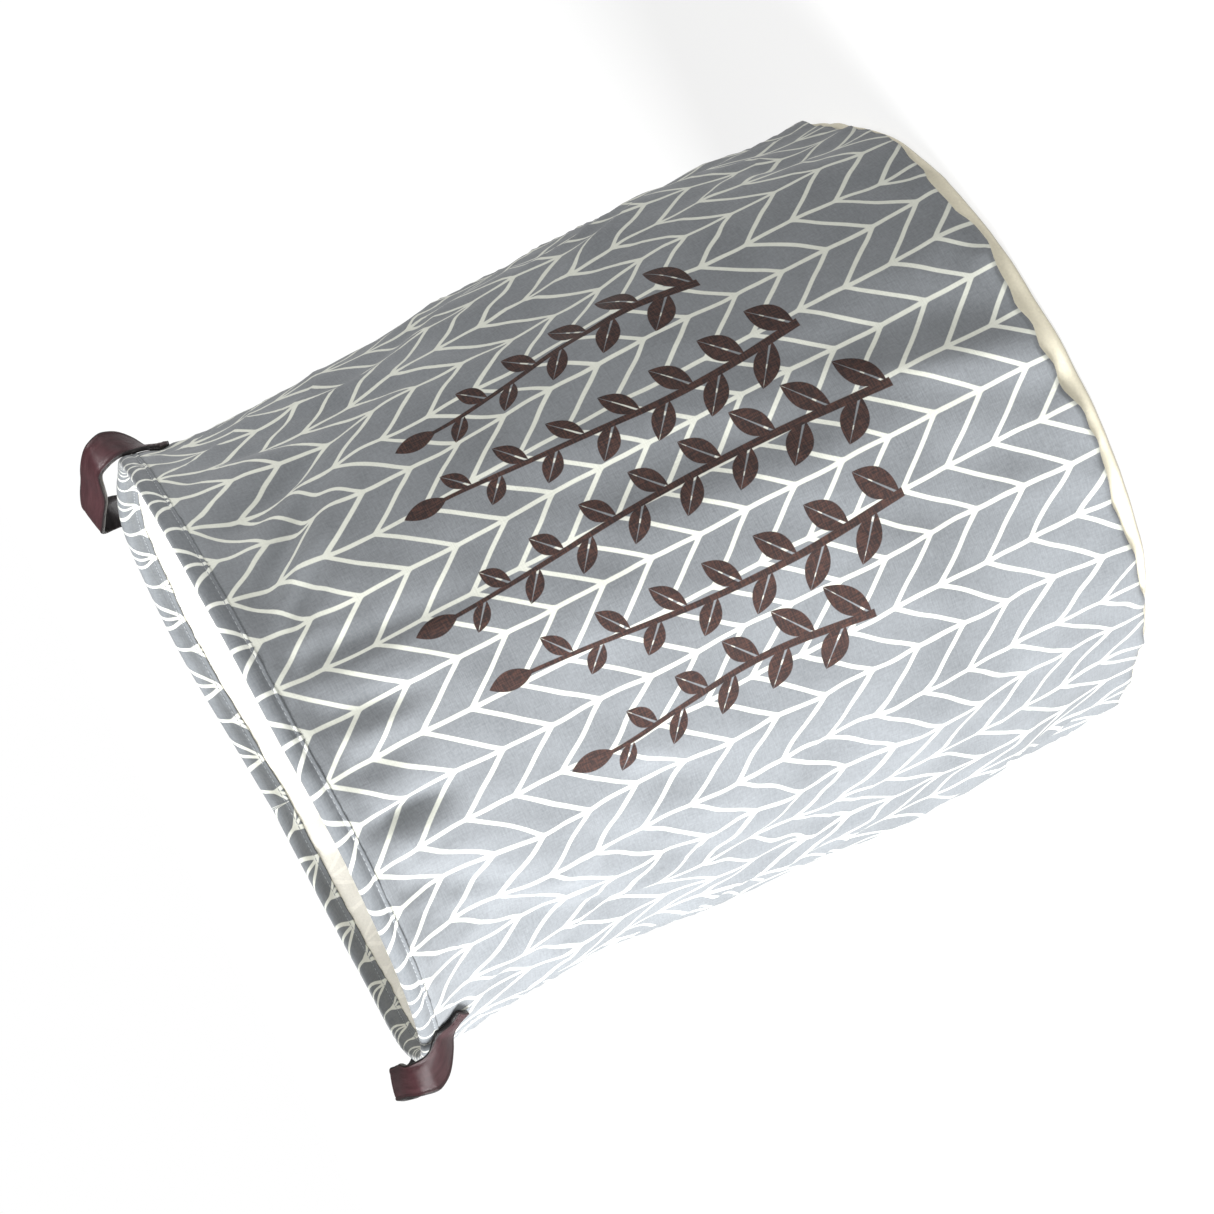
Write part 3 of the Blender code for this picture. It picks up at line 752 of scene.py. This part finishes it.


def cream_cloth(name, hex_code, roughness, contact_shade_to=None, print_from=None):
    """Unprinted cotton: matt, faintly uneven, with painted contact shadow at its foot or so thin the print
    shows through.
    """
    material, tree, shader = cloth_shader(name, roughness, 0.1)
    place = add(tree, "ShaderNodeTexCoord")
    fine = add(tree, "ShaderNodeTexNoise", {"Vector": place.outputs["Object"], "Scale": 700.0, "Detail": 2.0})
    broad = add(tree, "ShaderNodeTexNoise", {"Vector": place.outputs["Object"], "Scale": 18.0, "Detail": 3.0})
    both = add(tree, "ShaderNodeMath", {0: fine, 1: broad}, operation="ADD")
    tone = add(tree, "ShaderNodeMapRange", {
        "Value": both, "From Min": 0.7, "From Max": 1.3, "To Min": 0.93, "To Max": 1.05})
    tinted = add(tree, "ShaderNodeMix", {"Factor": 1.0, "A": colour(hex_code), "B": tone},
                 data_type="RGBA", blend_type="MULTIPLY")
    height = add(tree, "ShaderNodeSeparateXYZ", {0: place.outputs["Object"]})
    if print_from:
        printed = add(tree, "ShaderNodeGroup", node_tree=chevron)
        hidden = add(tree, "ShaderNodeMath", {0: height.outputs["Z"], 1: print_from}, operation="LESS_THAN")
        pale = add(tree, "ShaderNodeMath", {0: printed.outputs["Lines"], 1: hidden}, operation="MAXIMUM")
        through = add(tree, "ShaderNodeMapRange", {"Value": pale, "To Min": PRINT_SHOWS, "To Max": 1.0})
        tinted = add(tree, "ShaderNodeMix", {"Factor": 1.0, "A": tinted.outputs["Result"], "B": through},
                     data_type="RGBA", blend_type="MULTIPLY")
    # Painted contact shadow: the colour darkens towards the floor, as shade would where the base stands on
    # it.
    if contact_shade_to:
        unshaded = add(tree, "ShaderNodeMapRange", {
            "Value": height.outputs["Z"], "From Min": 0.0, "From Max": contact_shade_to,
            "To Min": 0.42, "To Max": 1.0})
        tinted = add(tree, "ShaderNodeMix", {"Factor": 1.0, "A": tinted.outputs["Result"], "B": unshaded},
                     data_type="RGBA", blend_type="MULTIPLY")
    tree.links.new(tinted.outputs["Result"], shader.inputs["Base Color"])
    bump = add(tree, "ShaderNodeBump", {"Height": fine, "Strength": 0.25, "Distance": 0.0005})
    tree.links.new(bump.outputs["Normal"], shader.inputs["Normal"])
    return material


wall_canvas = printed_canvas("cotton and linen canvas, screen printed", "727578", "C7C8BE", True)
hem_canvas = printed_canvas("cotton and linen canvas, printed, turned over", "65686B", "C6C7BF", False)
lining_cotton = cream_cloth("cream cotton lining, coated", "E0DDD4", 0.75, print_from=PRINT_FROM)
# The base gets a painted contact shadow along its foot.
base_canvas = cream_cloth("cream cotton canvas, unprinted", "DDD6C1", 0.88, contact_shade_to=CONTACT_SHADE_HEIGHT)
print("Cloths:", wall_canvas.name, "/", lining_cotton.name)

# %% [markdown]
# ## The printed wall
#
# One tube of canvas from under the hem to its lower edge over the base. A grid of points on the cloth is
# joined into faces, and its UV map keeps the cloth's own places, so the print bends with every fold. Solidify
# then gives the sheet its real thickness, which shows along the lower edge.

# %% Wall
WALL_COLUMNS = 330
WALL_ROWS = 132
HEM_SHARE = 1 - HEM_HEIGHT / HEIGHT
WALL_TOP_SHARE = HEM_SHARE + 0.0030 / HEIGHT
EDGE_RISE = 0.0022             # the edge curls up a little from where the solid ends
EDGE_WANDER = 0.0022           # its unevenness, up and down
EDGE_LIFT = 0.0034             # how far the lower edge stands off the base where it isn't held
EDGE_LIFT_REACH = 0.008
EDGE_LOOSE = 0.15              # more than 0 lifts more than half of the edge
EDGE_POWER = 6                 # keeps the curl of the edge to the lowest rows

around_wall = ring_angles(WALL_COLUMNS)[None, :]
down = (np.arange(WALL_ROWS + 1) / WALL_ROWS)[:, None]
wall_share = WALL_TOP_SHARE + (seam_share(around_wall) - WALL_TOP_SHARE) * down
uneven = EDGE_WANDER * cloth_noise("uneven edge", around_wall, 0 * wall_share)
wall_share = wall_share + (EDGE_RISE + uneven) / HEIGHT * down**EDGE_POWER
wall_grid = outer_points(around_wall, wall_share)
lifted = np.clip(cloth_noise("lifted edge", around_wall, wall_share) + EDGE_LOOSE, 0, 1)
lifted = lifted * np.exp(-((wall_share - wall_share[-1:]) * HEIGHT / EDGE_LIFT_REACH) ** 2)
wall_grid = wall_grid + square_out(around_wall, wall_share) * (lifted * EDGE_LIFT)[..., None]
wall = grid_mesh("printed_wall", wall_grid, wall_canvas, cloth=(cloth_shift(wall_grid), wall_share))
give_thickness(wall, CANVAS)
print("Wall faces:", len(wall.data.polygons))

# %% [markdown]
# ## The lining
#
# The lining hangs a millimetre or two inside the canvas and follows its folds, with slack of its own that
# shows as soft upright creases. Near the floor it steps in over the turned-up base cloth, turns a tight
# corner and closes as a round floor.

# %% Lining
LINING_COLUMNS = 240
LINING_ROWS = 100
LINING_SLACK = 0.0034
UNDER_WALL = CANVAS + GAP
UNDER_BORDER = UNDER_WALL + BASE_CLOTH + GAP
FLOOR_OF_LINING = BASE_CLOTH + GAP
CORNER_STEPS = 6
FLOOR_RINGS = 14


def corner_rings(angles, depth, radius, floor_height, steps):
    """The turn from a wall of the given depth down onto a flat floor."""
    upright = skin(angles, (floor_height + radius) / HEIGHT, depth)
    reach = np.hypot(upright[:, 0], upright[:, 1])
    turn = np.radians(angles - 90)
    rings = []
    for step in range(steps + 1):
        bend = math.pi / 2 * step / steps
        radius_here = reach - radius * (1 - math.cos(bend))
        height = np.full(angles.shape, floor_height + radius * (1 - math.sin(bend)))
        rings.append(np.stack([radius_here * np.cos(turn), radius_here * np.sin(turn), height], axis=-1))
    return rings


def floor_rings(last_ring, count):
    """Rings that close a floor towards its middle."""
    return [last_ring * np.array([1 - k / count, 1 - k / count, 1]) for k in range(1, count + 1)]


around_lining = ring_angles(LINING_COLUMNS)
border_top = (BASE_BORDER + 2 * GAP) / HEIGHT
lining_up = (1 - np.arange(LINING_ROWS + 1) / LINING_ROWS)[:, None]
lining_share = border_top + (WALL_TOP_SHARE - border_top) * lining_up
stepped = np.clip((lining_share * HEIGHT - BASE_BORDER - 2 * GAP) / BASE_BORDER, 0, 1)
step_in = UNDER_BORDER + (UNDER_WALL - UNDER_BORDER) * stepped**2 * (3 - 2 * stepped)
lining_angle = np.broadcast_to(around_lining[None, :], (LINING_ROWS + 1, LINING_COLUMNS))
lining_share = np.broadcast_to(lining_share, lining_angle.shape)
slack = np.abs(cloth_noise("slack", lining_angle, lining_share)) * LINING_SLACK
slack = slack * np.clip((WALL_TOP_SHARE - lining_share) * 20, 0, 1) * stepped
lining_rings = list(skin(lining_angle, lining_share, step_in + slack))
lining_rings += corner_rings(around_lining, UNDER_BORDER, BASE_CORNER - FLOOR_OF_LINING, FLOOR_OF_LINING,
                             CORNER_STEPS)
lining_rings += floor_rings(lining_rings[-1], FLOOR_RINGS)
lining_grid = np.stack(lining_rings)
lining = grid_mesh("cream_lining", lining_grid, lining_cotton,
                   cloth=(np.zeros(lining_grid.shape[:2]), lining_grid[..., 2] / HEIGHT))
close_pole(lining)
give_thickness(lining, LINING)
print("Lining faces:", len(lining.data.polygons))

# %% Base cloth
BASE_COLUMNS = 240
BORDER_RINGS = 5
BASE_RINGS = 12

around_base = ring_angles(BASE_COLUMNS)
border_heights = np.linspace(BASE_BORDER, BASE_CORNER, BORDER_RINGS, endpoint=False) / HEIGHT
base_rings = [skin(around_base, share, UNDER_WALL) for share in border_heights]
base_rings += corner_rings(around_base, UNDER_WALL, BASE_CORNER, 0.0, CORNER_STEPS)
base_rings += floor_rings(base_rings[-1], BASE_RINGS)
base = grid_mesh("cream_base", np.stack(base_rings), base_canvas)
close_pole(base)
give_thickness(base, BASE_CLOTH)
print("Base faces:", len(base.data.polygons))

# %% [markdown]
# ## The hem
#
# The canvas goes up over a wire, down the inside and is sewn through all layers just under it. Its section is
# a loop of points, deeper where the thread pulls the cloth in and fuller where the wire lies. The loop is
# carried round the rim, and the print goes over with it, pulled a little sideways as it always is when cloth
# is rolled.

# %% Hem
HEM_COLUMNS = 480
HEM_SECTION = (
    # depth below the outer face and height below the rim, in mm, from the outer edge over to the inner one
    (0.4, 11.3), (-0.5, 11.0), (-0.8, 10.4), (-0.5, 9.7), (-0.1, 9.2), (-0.3, 8.5), (-0.9, 7.3), (-1.3, 5.8),
    (-1.3, 4.2), (-1.0, 2.7), (-0.2, 1.3), (1.0, 0.4), (2.6, 0.1), (4.1, 0.5), (5.2, 1.5), (5.8, 3.0),
    (5.8, 4.8), (5.3, 6.6), (4.8, 8.2), (4.5, 9.6), (4.6, 10.8), (4.9, 11.8), (4.6, 12.6), (3.6, 12.9),
)
HEM_LEAN = 0.012               # sideways pull of the print for each degree from the front
HEM_UNEVEN = 0.0004


def hem_bumps(angle, share):
    """The rolled cloth's unevenness, which the stitches follow too."""
    return cloth_noise("hem lump", angle, share) + cloth_noise("hem ripple", angle, share)


def hem_run():
    """Distance along the hem's section from its outer edge, in metres."""
    steps = [math.dist(a, b) / 1000 for a, b in zip(HEM_SECTION, HEM_SECTION[1:])]
    return np.concatenate([[0.0], np.cumsum(steps)])


around_hem = ring_angles(HEM_COLUMNS)
hem_depth = np.array([row[0] for row in HEM_SECTION])[:, None] / 1000
hem_below = np.array([row[1] for row in HEM_SECTION])[:, None] / 1000
hem_angle = np.broadcast_to(around_hem[None, :], (len(HEM_SECTION), HEM_COLUMNS))
hem_share = np.broadcast_to(1 - hem_below / HEIGHT, hem_angle.shape)
bumps = hem_bumps(hem_angle, hem_share) * HEM_UNEVEN * np.clip(hem_below / 0.004, 0, 1)
hem_grid = skin(hem_angle, hem_share, hem_depth + bumps)
hem_cloth = 1 - HEM_SECTION[0][1] / 1000 / HEIGHT + hem_run()[:, None] / HEIGHT
hem_pull = np.clip(hem_angle * HEM_LEAN, -0.6, 0.6) * hem_run()[:, None] * 1000 / (COLUMN_COUNT * COLUMN_MM)
hem = grid_mesh("rolled_hem", hem_grid, hem_canvas,
                cloth=(-hem_pull, np.broadcast_to(hem_cloth, hem_angle.shape)), closed_section=True)
print("Hem faces:", len(hem.data.polygons))

# %% [markdown]
# ## The leather straps
#
# Each handle is one strap of coated leather, sewn flat to the wall at both ends. Between them it twists on
# edge and arches over the rim. The strap is a ruled band whose middle line, twist and distance from the rim
# come from a table, and its section has rounded, painted edges and a pressed line along each side.

# %% Strap route
STRAP_WIDTH = 0.019
STRAP_THICKNESS = 0.0026
HANDLE_SPAN = 0.130
HANDLE_RISE = 0.0150
TAB_DROP = 0.027
TAB_GAP = 0.0008
HANDLES = (
    # name, CAD node, angle, and how much further out it leans over the rim, as a share of its width
    ("strap_left", "handle_left", -91.75, 0.14),
    ("strap_right", "handle_right", 91.75, -0.24),
)
HANDLE_ROWS = (
    # along and height as shares of half the span and of drop or rise, stand-off as a share of width, twist
    (1.03, -1.00, 0.00, 0), (0.97, -0.76, 0.00, 0), (0.93, -0.50, 0.00, 3), (0.90, -0.32, 0.05, 26),
    (0.87, -0.06, 0.14, 54), (0.86, 0.28, 0.11, 72), (0.79, 0.74, -0.06, 88), (0.50, 0.98, -0.42, 106),
    (0.00, 1.00, -0.56, 114),
)
TAB_WIDTH = 0.62               # the sewn ends are folded narrower than the strap
TAB_FOLD = (0.05, 0.13)        # where along the strap the folding ends
BEND_STRETCH = np.linspace(-0.016, 0.016, 9)


def strap_route(place):
    """Along, height, stand-off and twist of the strap at places from 0, one sewn end, to 1, the other."""
    half = 1 - np.abs(2 * place - 1)
    last = len(HANDLE_ROWS) - 1
    along, height, stand, twist = (
        smooth_between([(i / last, row[column]) for i, row in enumerate(HANDLE_ROWS)], half)
        for column in range(4))
    along = along * HANDLE_SPAN / 2 * np.where(place < 0.5, -1, 1)
    height = height * np.where(height > 0, HANDLE_RISE, TAB_DROP)
    return along, height, stand * STRAP_WIDTH, np.radians(twist)


def strap_row(place):
    """The same, averaged over a short stretch either way, because leather takes no sharp bend."""
    nearby = [strap_route(np.clip(place + shift, 0, 1)) for shift in BEND_STRETCH]
    return tuple(np.mean(values, axis=0) for values in zip(*nearby))


def main_radius(angle, share):
    """Radius of the wall's main shape, which the CAD straps stand on."""
    return BODY_RADIUS * (smooth_between(PROFILE, share) + add_up_folds(FOLDS, angle, share))


def strap_points(place, lane, middle, lean):
    """Points of the strap's middle surface. The lane goes from -1, the outer side, to 1, the rim side."""
    along, height, stand, twist = strap_row(place)
    stand = stand + lean * STRAP_WIDTH * np.clip(np.sin(twist), 0, 1) ** 2
    before, after = strap_row(np.maximum(place - 0.01, 0)), strap_row(np.minimum(place + 0.01, 1))
    run, climb = after[0] - before[0], after[1] - before[1]
    length = np.hypot(run, climb)
    from_end = np.clip((np.minimum(place, 1 - place) - TAB_FOLD[0]) / (TAB_FOLD[1] - TAB_FOLD[0]), 0, 1)
    width = STRAP_WIDTH * (TAB_WIDTH + (1 - TAB_WIDTH) * from_end**2 * (3 - 2 * from_end))
    across = lane * width / 2
    flat = across * np.cos(twist)
    along = along - flat * climb / length
    height = height + flat * run / length
    angle = middle + np.degrees(along / (BODY_RADIUS * PROFILE[-1][1]))
    out = TAB_GAP + STRAP_THICKNESS / 2 + stand + (width / 2 - across) * np.sin(twist)
    share = np.minimum(1 + height / HEIGHT, 1.0)
    radius = main_radius(angle, share) + out
    lift = smooth_between(RIM_WAVE, turned(angle)) * share**LIFT_FADE
    turn = np.radians(angle - 90)
    return np.stack([radius * np.cos(turn), radius * np.sin(turn),
                     HEIGHT * (share + lift) + np.maximum(height, 0.0)], axis=-1)


# %% Leather
def leather():
    """Cowhide split with a dark brown coating, rolled grain: a soft broad shine and fine creases."""
    material = bpy.data.materials.new("coated leather, grained")
    material.use_nodes = True
    tree = material.node_tree
    shader = tree.nodes["Principled BSDF"]
    shader.inputs["Specular IOR Level"].default_value = 0.34
    place = add(tree, "ShaderNodeUVMap", uv_map="cloth")
    grain = add(tree, "ShaderNodeTexVoronoi", {"Vector": place, "Scale": 900.0}, feature="DISTANCE_TO_EDGE")
    wrinkle = add(tree, "ShaderNodeTexNoise", {"Vector": place, "Scale": 160.0, "Detail": 4.0})
    broad = add(tree, "ShaderNodeTexNoise", {"Vector": place, "Scale": 45.0, "Detail": 2.0})
    worn = add(tree, "ShaderNodeMapRange", {"Value": broad, "From Min": 0.3, "From Max": 0.7})
    face = add(tree, "ShaderNodeMix", {"Factor": worn, "A": colour("2E181B"), "B": colour("3E2528")},
               data_type="RGBA")
    edge = add(tree, "ShaderNodeAttribute", attribute_name="edge")
    painted = add(tree, "ShaderNodeMix", {"Factor": edge.outputs["Fac"], "A": face.outputs["Result"],
                                          "B": colour("120C0D")}, data_type="RGBA")
    tree.links.new(painted.outputs["Result"], shader.inputs["Base Color"])
    gloss = add(tree, "ShaderNodeMapRange", {
        "Value": wrinkle, "From Min": 0.3, "From Max": 0.7, "To Min": 0.30, "To Max": 0.44})
    tree.links.new(gloss.outputs[0], shader.inputs["Roughness"])
    pores = add(tree, "ShaderNodeMapRange", {"Value": grain, "From Min": 0.0, "From Max": 0.25})
    relief = add(tree, "ShaderNodeMath", {0: wrinkle, 1: 1.4, 2: pores}, operation="MULTIPLY_ADD")
    bump = add(tree, "ShaderNodeBump", {"Height": relief, "Strength": 0.35, "Distance": 0.0004})
    tree.links.new(bump.outputs["Normal"], shader.inputs["Normal"])
    return material


strap_leather = leather()

# %% Straps
STRAP_STEPS = 240
STRAP_RUN = 0.25               # length of a strap in its UV map, in metres
STRAP_SECTION = (
    # across as a share of half the width, up as a share of half the thickness, 1 where edge paint shows
    (-1.00, 0.0, 1), (-0.985, 0.62, 1), (-0.94, 0.95, 1), (-0.86, 1.04, 0), (-0.79, 0.84, 0.3),
    (-0.72, 1.02, 0), (-0.45, 1.28, 0), (0.0, 1.42, 0), (0.45, 1.28, 0), (0.72, 1.02, 0),
    (0.79, 0.84, 0.3), (0.86, 1.04, 0), (0.94, 0.95, 1), (0.985, 0.62, 1), (1.00, 0.0, 1),
    (0.985, -0.62, 1), (0.94, -0.95, 1), (0.5, -1.0, 1), (0.0, -1.0, 1), (-0.5, -1.0, 1),
    (-0.94, -0.95, 1), (-0.985, -0.62, 1),
)


def strap_skin(place, lane, lift, middle, lean):
    """Points lifted off the strap's middle surface, outwards."""
    along = (strap_points(np.minimum(place + 0.004, 1), lane, middle, lean)
             - strap_points(np.maximum(place - 0.004, 0), lane, middle, lean))
    across = strap_points(place, lane + 0.05, middle, lean) - strap_points(place, lane - 0.05, middle, lean)
    out = np.cross(along, across)
    out /= np.linalg.norm(out, axis=-1, keepdims=True)
    return strap_points(place, lane, middle, lean) + out * np.asarray(lift)[..., None]


def make_strap(name, node, middle, lean):
    """One strap with a rounded section, ends closed, riding where its CAD node is."""
    place = (np.arange(STRAP_STEPS + 1) / STRAP_STEPS)[:, None]
    lane = np.array([row[0] for row in STRAP_SECTION])[None, :]
    up = np.array([row[1] for row in STRAP_SECTION])[None, :] * STRAP_THICKNESS / 2
    place, lane, up = np.broadcast_arrays(place, lane, up)
    grid = strap_skin(place, lane, up, middle, lean)
    obj = grid_mesh(name, grid[:, ::-1], strap_leather, cloth=(np.zeros(place.shape), place * STRAP_RUN))
    mesh = obj.data
    body = bmesh.new()
    body.from_mesh(mesh)
    body.verts.ensure_lookup_table()
    count = len(STRAP_SECTION)
    for first, backwards in ((0, False), (STRAP_STEPS * count, True)):
        end = [body.verts[first + i] for i in range(count)]
        body.faces.new(end[::-1] if backwards else end)
    bmesh.ops.recalc_face_normals(body, faces=body.faces)
    body.to_mesh(mesh)
    body.free()
    edges = np.tile([row[2] for row in STRAP_SECTION][::-1], STRAP_STEPS + 1).astype(np.float32)
    mesh.attributes.new("edge", "FLOAT", "POINT").data.foreach_set("value", edges)
    mesh.shade_smooth()
    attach(obj, "root")
    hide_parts(node)
    return obj


straps = [make_strap(*row) for row in HANDLES]
print("Strap faces:", [len(strap.data.polygons) for strap in straps])

# %% [markdown]
# ## Stitches
#
# A lockstitch is a row of short bars of thread with a small gap between them. Geometry Nodes can lay such a
# row along any path: the path is cut into equal steps, one bar is put on each and turned along the path, and
# at the end the copies are made real. The hem has one row outside and one inside, and each strap's sewn ends
# have a row of their own.

# %% Stitch tree
def stitch_tree():
    """A Geometry Nodes tree that lays thread bars along a path, with a pitch, a length and a thickness."""
    tree = bpy.data.node_groups.new("stitch row", "GeometryNodeTree")
    sockets = {}
    for name, kind in (("Path", "Geometry"), ("Pitch", "Float"), ("Length", "Float"),
                       ("Thickness", "Float"), ("Thread", "Material")):
        socket = tree.interface.new_socket(name, in_out="INPUT", socket_type="NodeSocket" + kind)
        sockets[name] = socket.identifier
    tree.interface.new_socket("Stitches", in_out="OUTPUT", socket_type="NodeSocketGeometry")
    given = add(tree, "NodeGroupInput")
    curve = add(tree, "GeometryNodeMeshToCurve", {"Mesh": given.outputs["Path"]})
    points = add(tree, "GeometryNodeCurveToPoints",
                 {"Curve": curve, "Length": given.outputs["Pitch"]}, mode="LENGTH")
    bar = add(tree, "GeometryNodeMeshUVSphere", {"Segments": 6, "Rings": 5, "Radius": 0.5})
    thick = add(tree, "ShaderNodeCombineXYZ", {
        "X": given.outputs["Thickness"], "Y": given.outputs["Thickness"], "Z": given.outputs["Length"]})
    laid = add(tree, "GeometryNodeInstanceOnPoints", {
        "Points": points.outputs["Points"], "Instance": bar.outputs["Mesh"],
        "Rotation": points.outputs["Rotation"], "Scale": thick})
    real = add(tree, "GeometryNodeRealizeInstances", {"Geometry": laid})
    smooth = add(tree, "GeometryNodeSetShadeSmooth", {"Geometry": real})
    dyed = add(tree, "GeometryNodeSetMaterial", {"Geometry": smooth, "Material": given.outputs["Thread"]})
    add(tree, "NodeGroupOutput", {"Stitches": dyed})
    return tree, sockets


def sew(name, path, pitch, length, thickness, thread, closed):
    """Runs the stitch tree along a path of points and keeps the result as a plain mesh."""
    mesh = bpy.data.meshes.new(name)
    edges = [(i, i + 1) for i in range(len(path) - 1)] + ([(len(path) - 1, 0)] if closed else [])
    mesh.from_pydata(np.asarray(path).tolist(), edges, [])
    row = bpy.data.objects.new(name, mesh)
    bpy.context.scene.collection.objects.link(row)
    sewing = row.modifiers.new("stitches", "NODES")
    sewing.node_group = stitches
    for key, value in (("Pitch", pitch), ("Length", length), ("Thickness", thickness), ("Thread", thread)):
        sewing[stitch_inputs[key]] = value
    depsgraph = bpy.context.evaluated_depsgraph_get()
    result = bpy.data.meshes.new_from_object(row.evaluated_get(depsgraph))
    row.modifiers.remove(sewing)
    row.data = result
    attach(row, "root")
    return row


stitches, stitch_inputs = stitch_tree()


# %% Thread
def thread_material(name, hex_code):
    """Spun polyester thread: matt, with a faint twist that shows as uneven tone."""
    material, tree, shader = cloth_shader(name, 0.7, 0.2)
    place = add(tree, "ShaderNodeTexCoord")
    twist = add(tree, "ShaderNodeTexNoise", {"Vector": place.outputs["Object"], "Scale": 900.0})
    tone = add(tree, "ShaderNodeMapRange",
               {"Value": twist, "From Min": 0.3, "From Max": 0.7, "To Min": 0.8, "To Max": 1.1})
    tinted = add(tree, "ShaderNodeMix", {"Factor": 1.0, "A": colour(hex_code), "B": tone},
                 data_type="RGBA", blend_type="MULTIPLY")
    tree.links.new(tinted.outputs["Result"], shader.inputs["Base Color"])
    return material


grey_thread = thread_material("grey spun thread", "8B8E90")
brown_thread = thread_material("dark brown waxed thread", "2A1B1B")

# %% Sew the hem
HEM_PITCH = 0.0033
STITCH_LENGTH = 0.0025
THREAD = 0.00055
OUTER_ROW = (-0.00015, 0.0092)             # depth below the outer face and height below the rim
INNER_ROW = (0.00470, 0.0096)

for name, (depth, below) in (("hem_stitches_outside", OUTER_ROW), ("hem_stitches_inside", INNER_ROW)):
    share = 1 - below / HEIGHT
    path = skin(around_hem, share, depth + hem_bumps(around_hem, share) * HEM_UNEVEN)
    sew(name, path, HEM_PITCH, STITCH_LENGTH, THREAD, grey_thread, True)

# %% Sew the straps' ends
TAB_LANE = 0.62                # how far from the strap's middle the rows run, as a share of half its width
TAB_PLACES = (0.010, 0.066)    # from the strap's end, as a share of its run
STRAP_PITCH = 0.0026
STRAP_STITCH = 0.0019
THREAD_LIES = STRAP_THICKNESS * 0.58       # above the strap's middle surface

down_tab = np.linspace(TAB_PLACES[1], TAB_PLACES[0], 9)
over_tab = np.linspace(-TAB_LANE, TAB_LANE, 7)[1:-1]
tab_lane = np.concatenate([np.full(9, -TAB_LANE), over_tab, np.full(9, TAB_LANE)])
tab_place = np.concatenate([down_tab, np.full(5, TAB_PLACES[0]), down_tab[::-1]])
for name, node, middle, lean in HANDLES:
    for end, places in (("front", tab_place), ("back", 1 - tab_place)):
        path = strap_skin(places, tab_lane, THREAD_LIES, middle, lean)
        tab_row = sew(f"{name}_stitches_{end}", path, STRAP_PITCH, STRAP_STITCH, THREAD, brown_thread, False)
print("Rows of stitches on the straps:", 2 * len(HANDLES))

# %% [markdown]
# ## Handing over
#
# Each piece takes the place of its CAD solid and stays where the frame has it.

# %% Fasten every piece to the frame
for piece, node, slot in ((wall, "wall", "printed_canvas"), (hem, "hem", "hem_canvas"),
                          (lining, "lining", "lining_cloth"), (base, "base", "base_cloth")):
    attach(piece, "root")
    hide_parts(node)
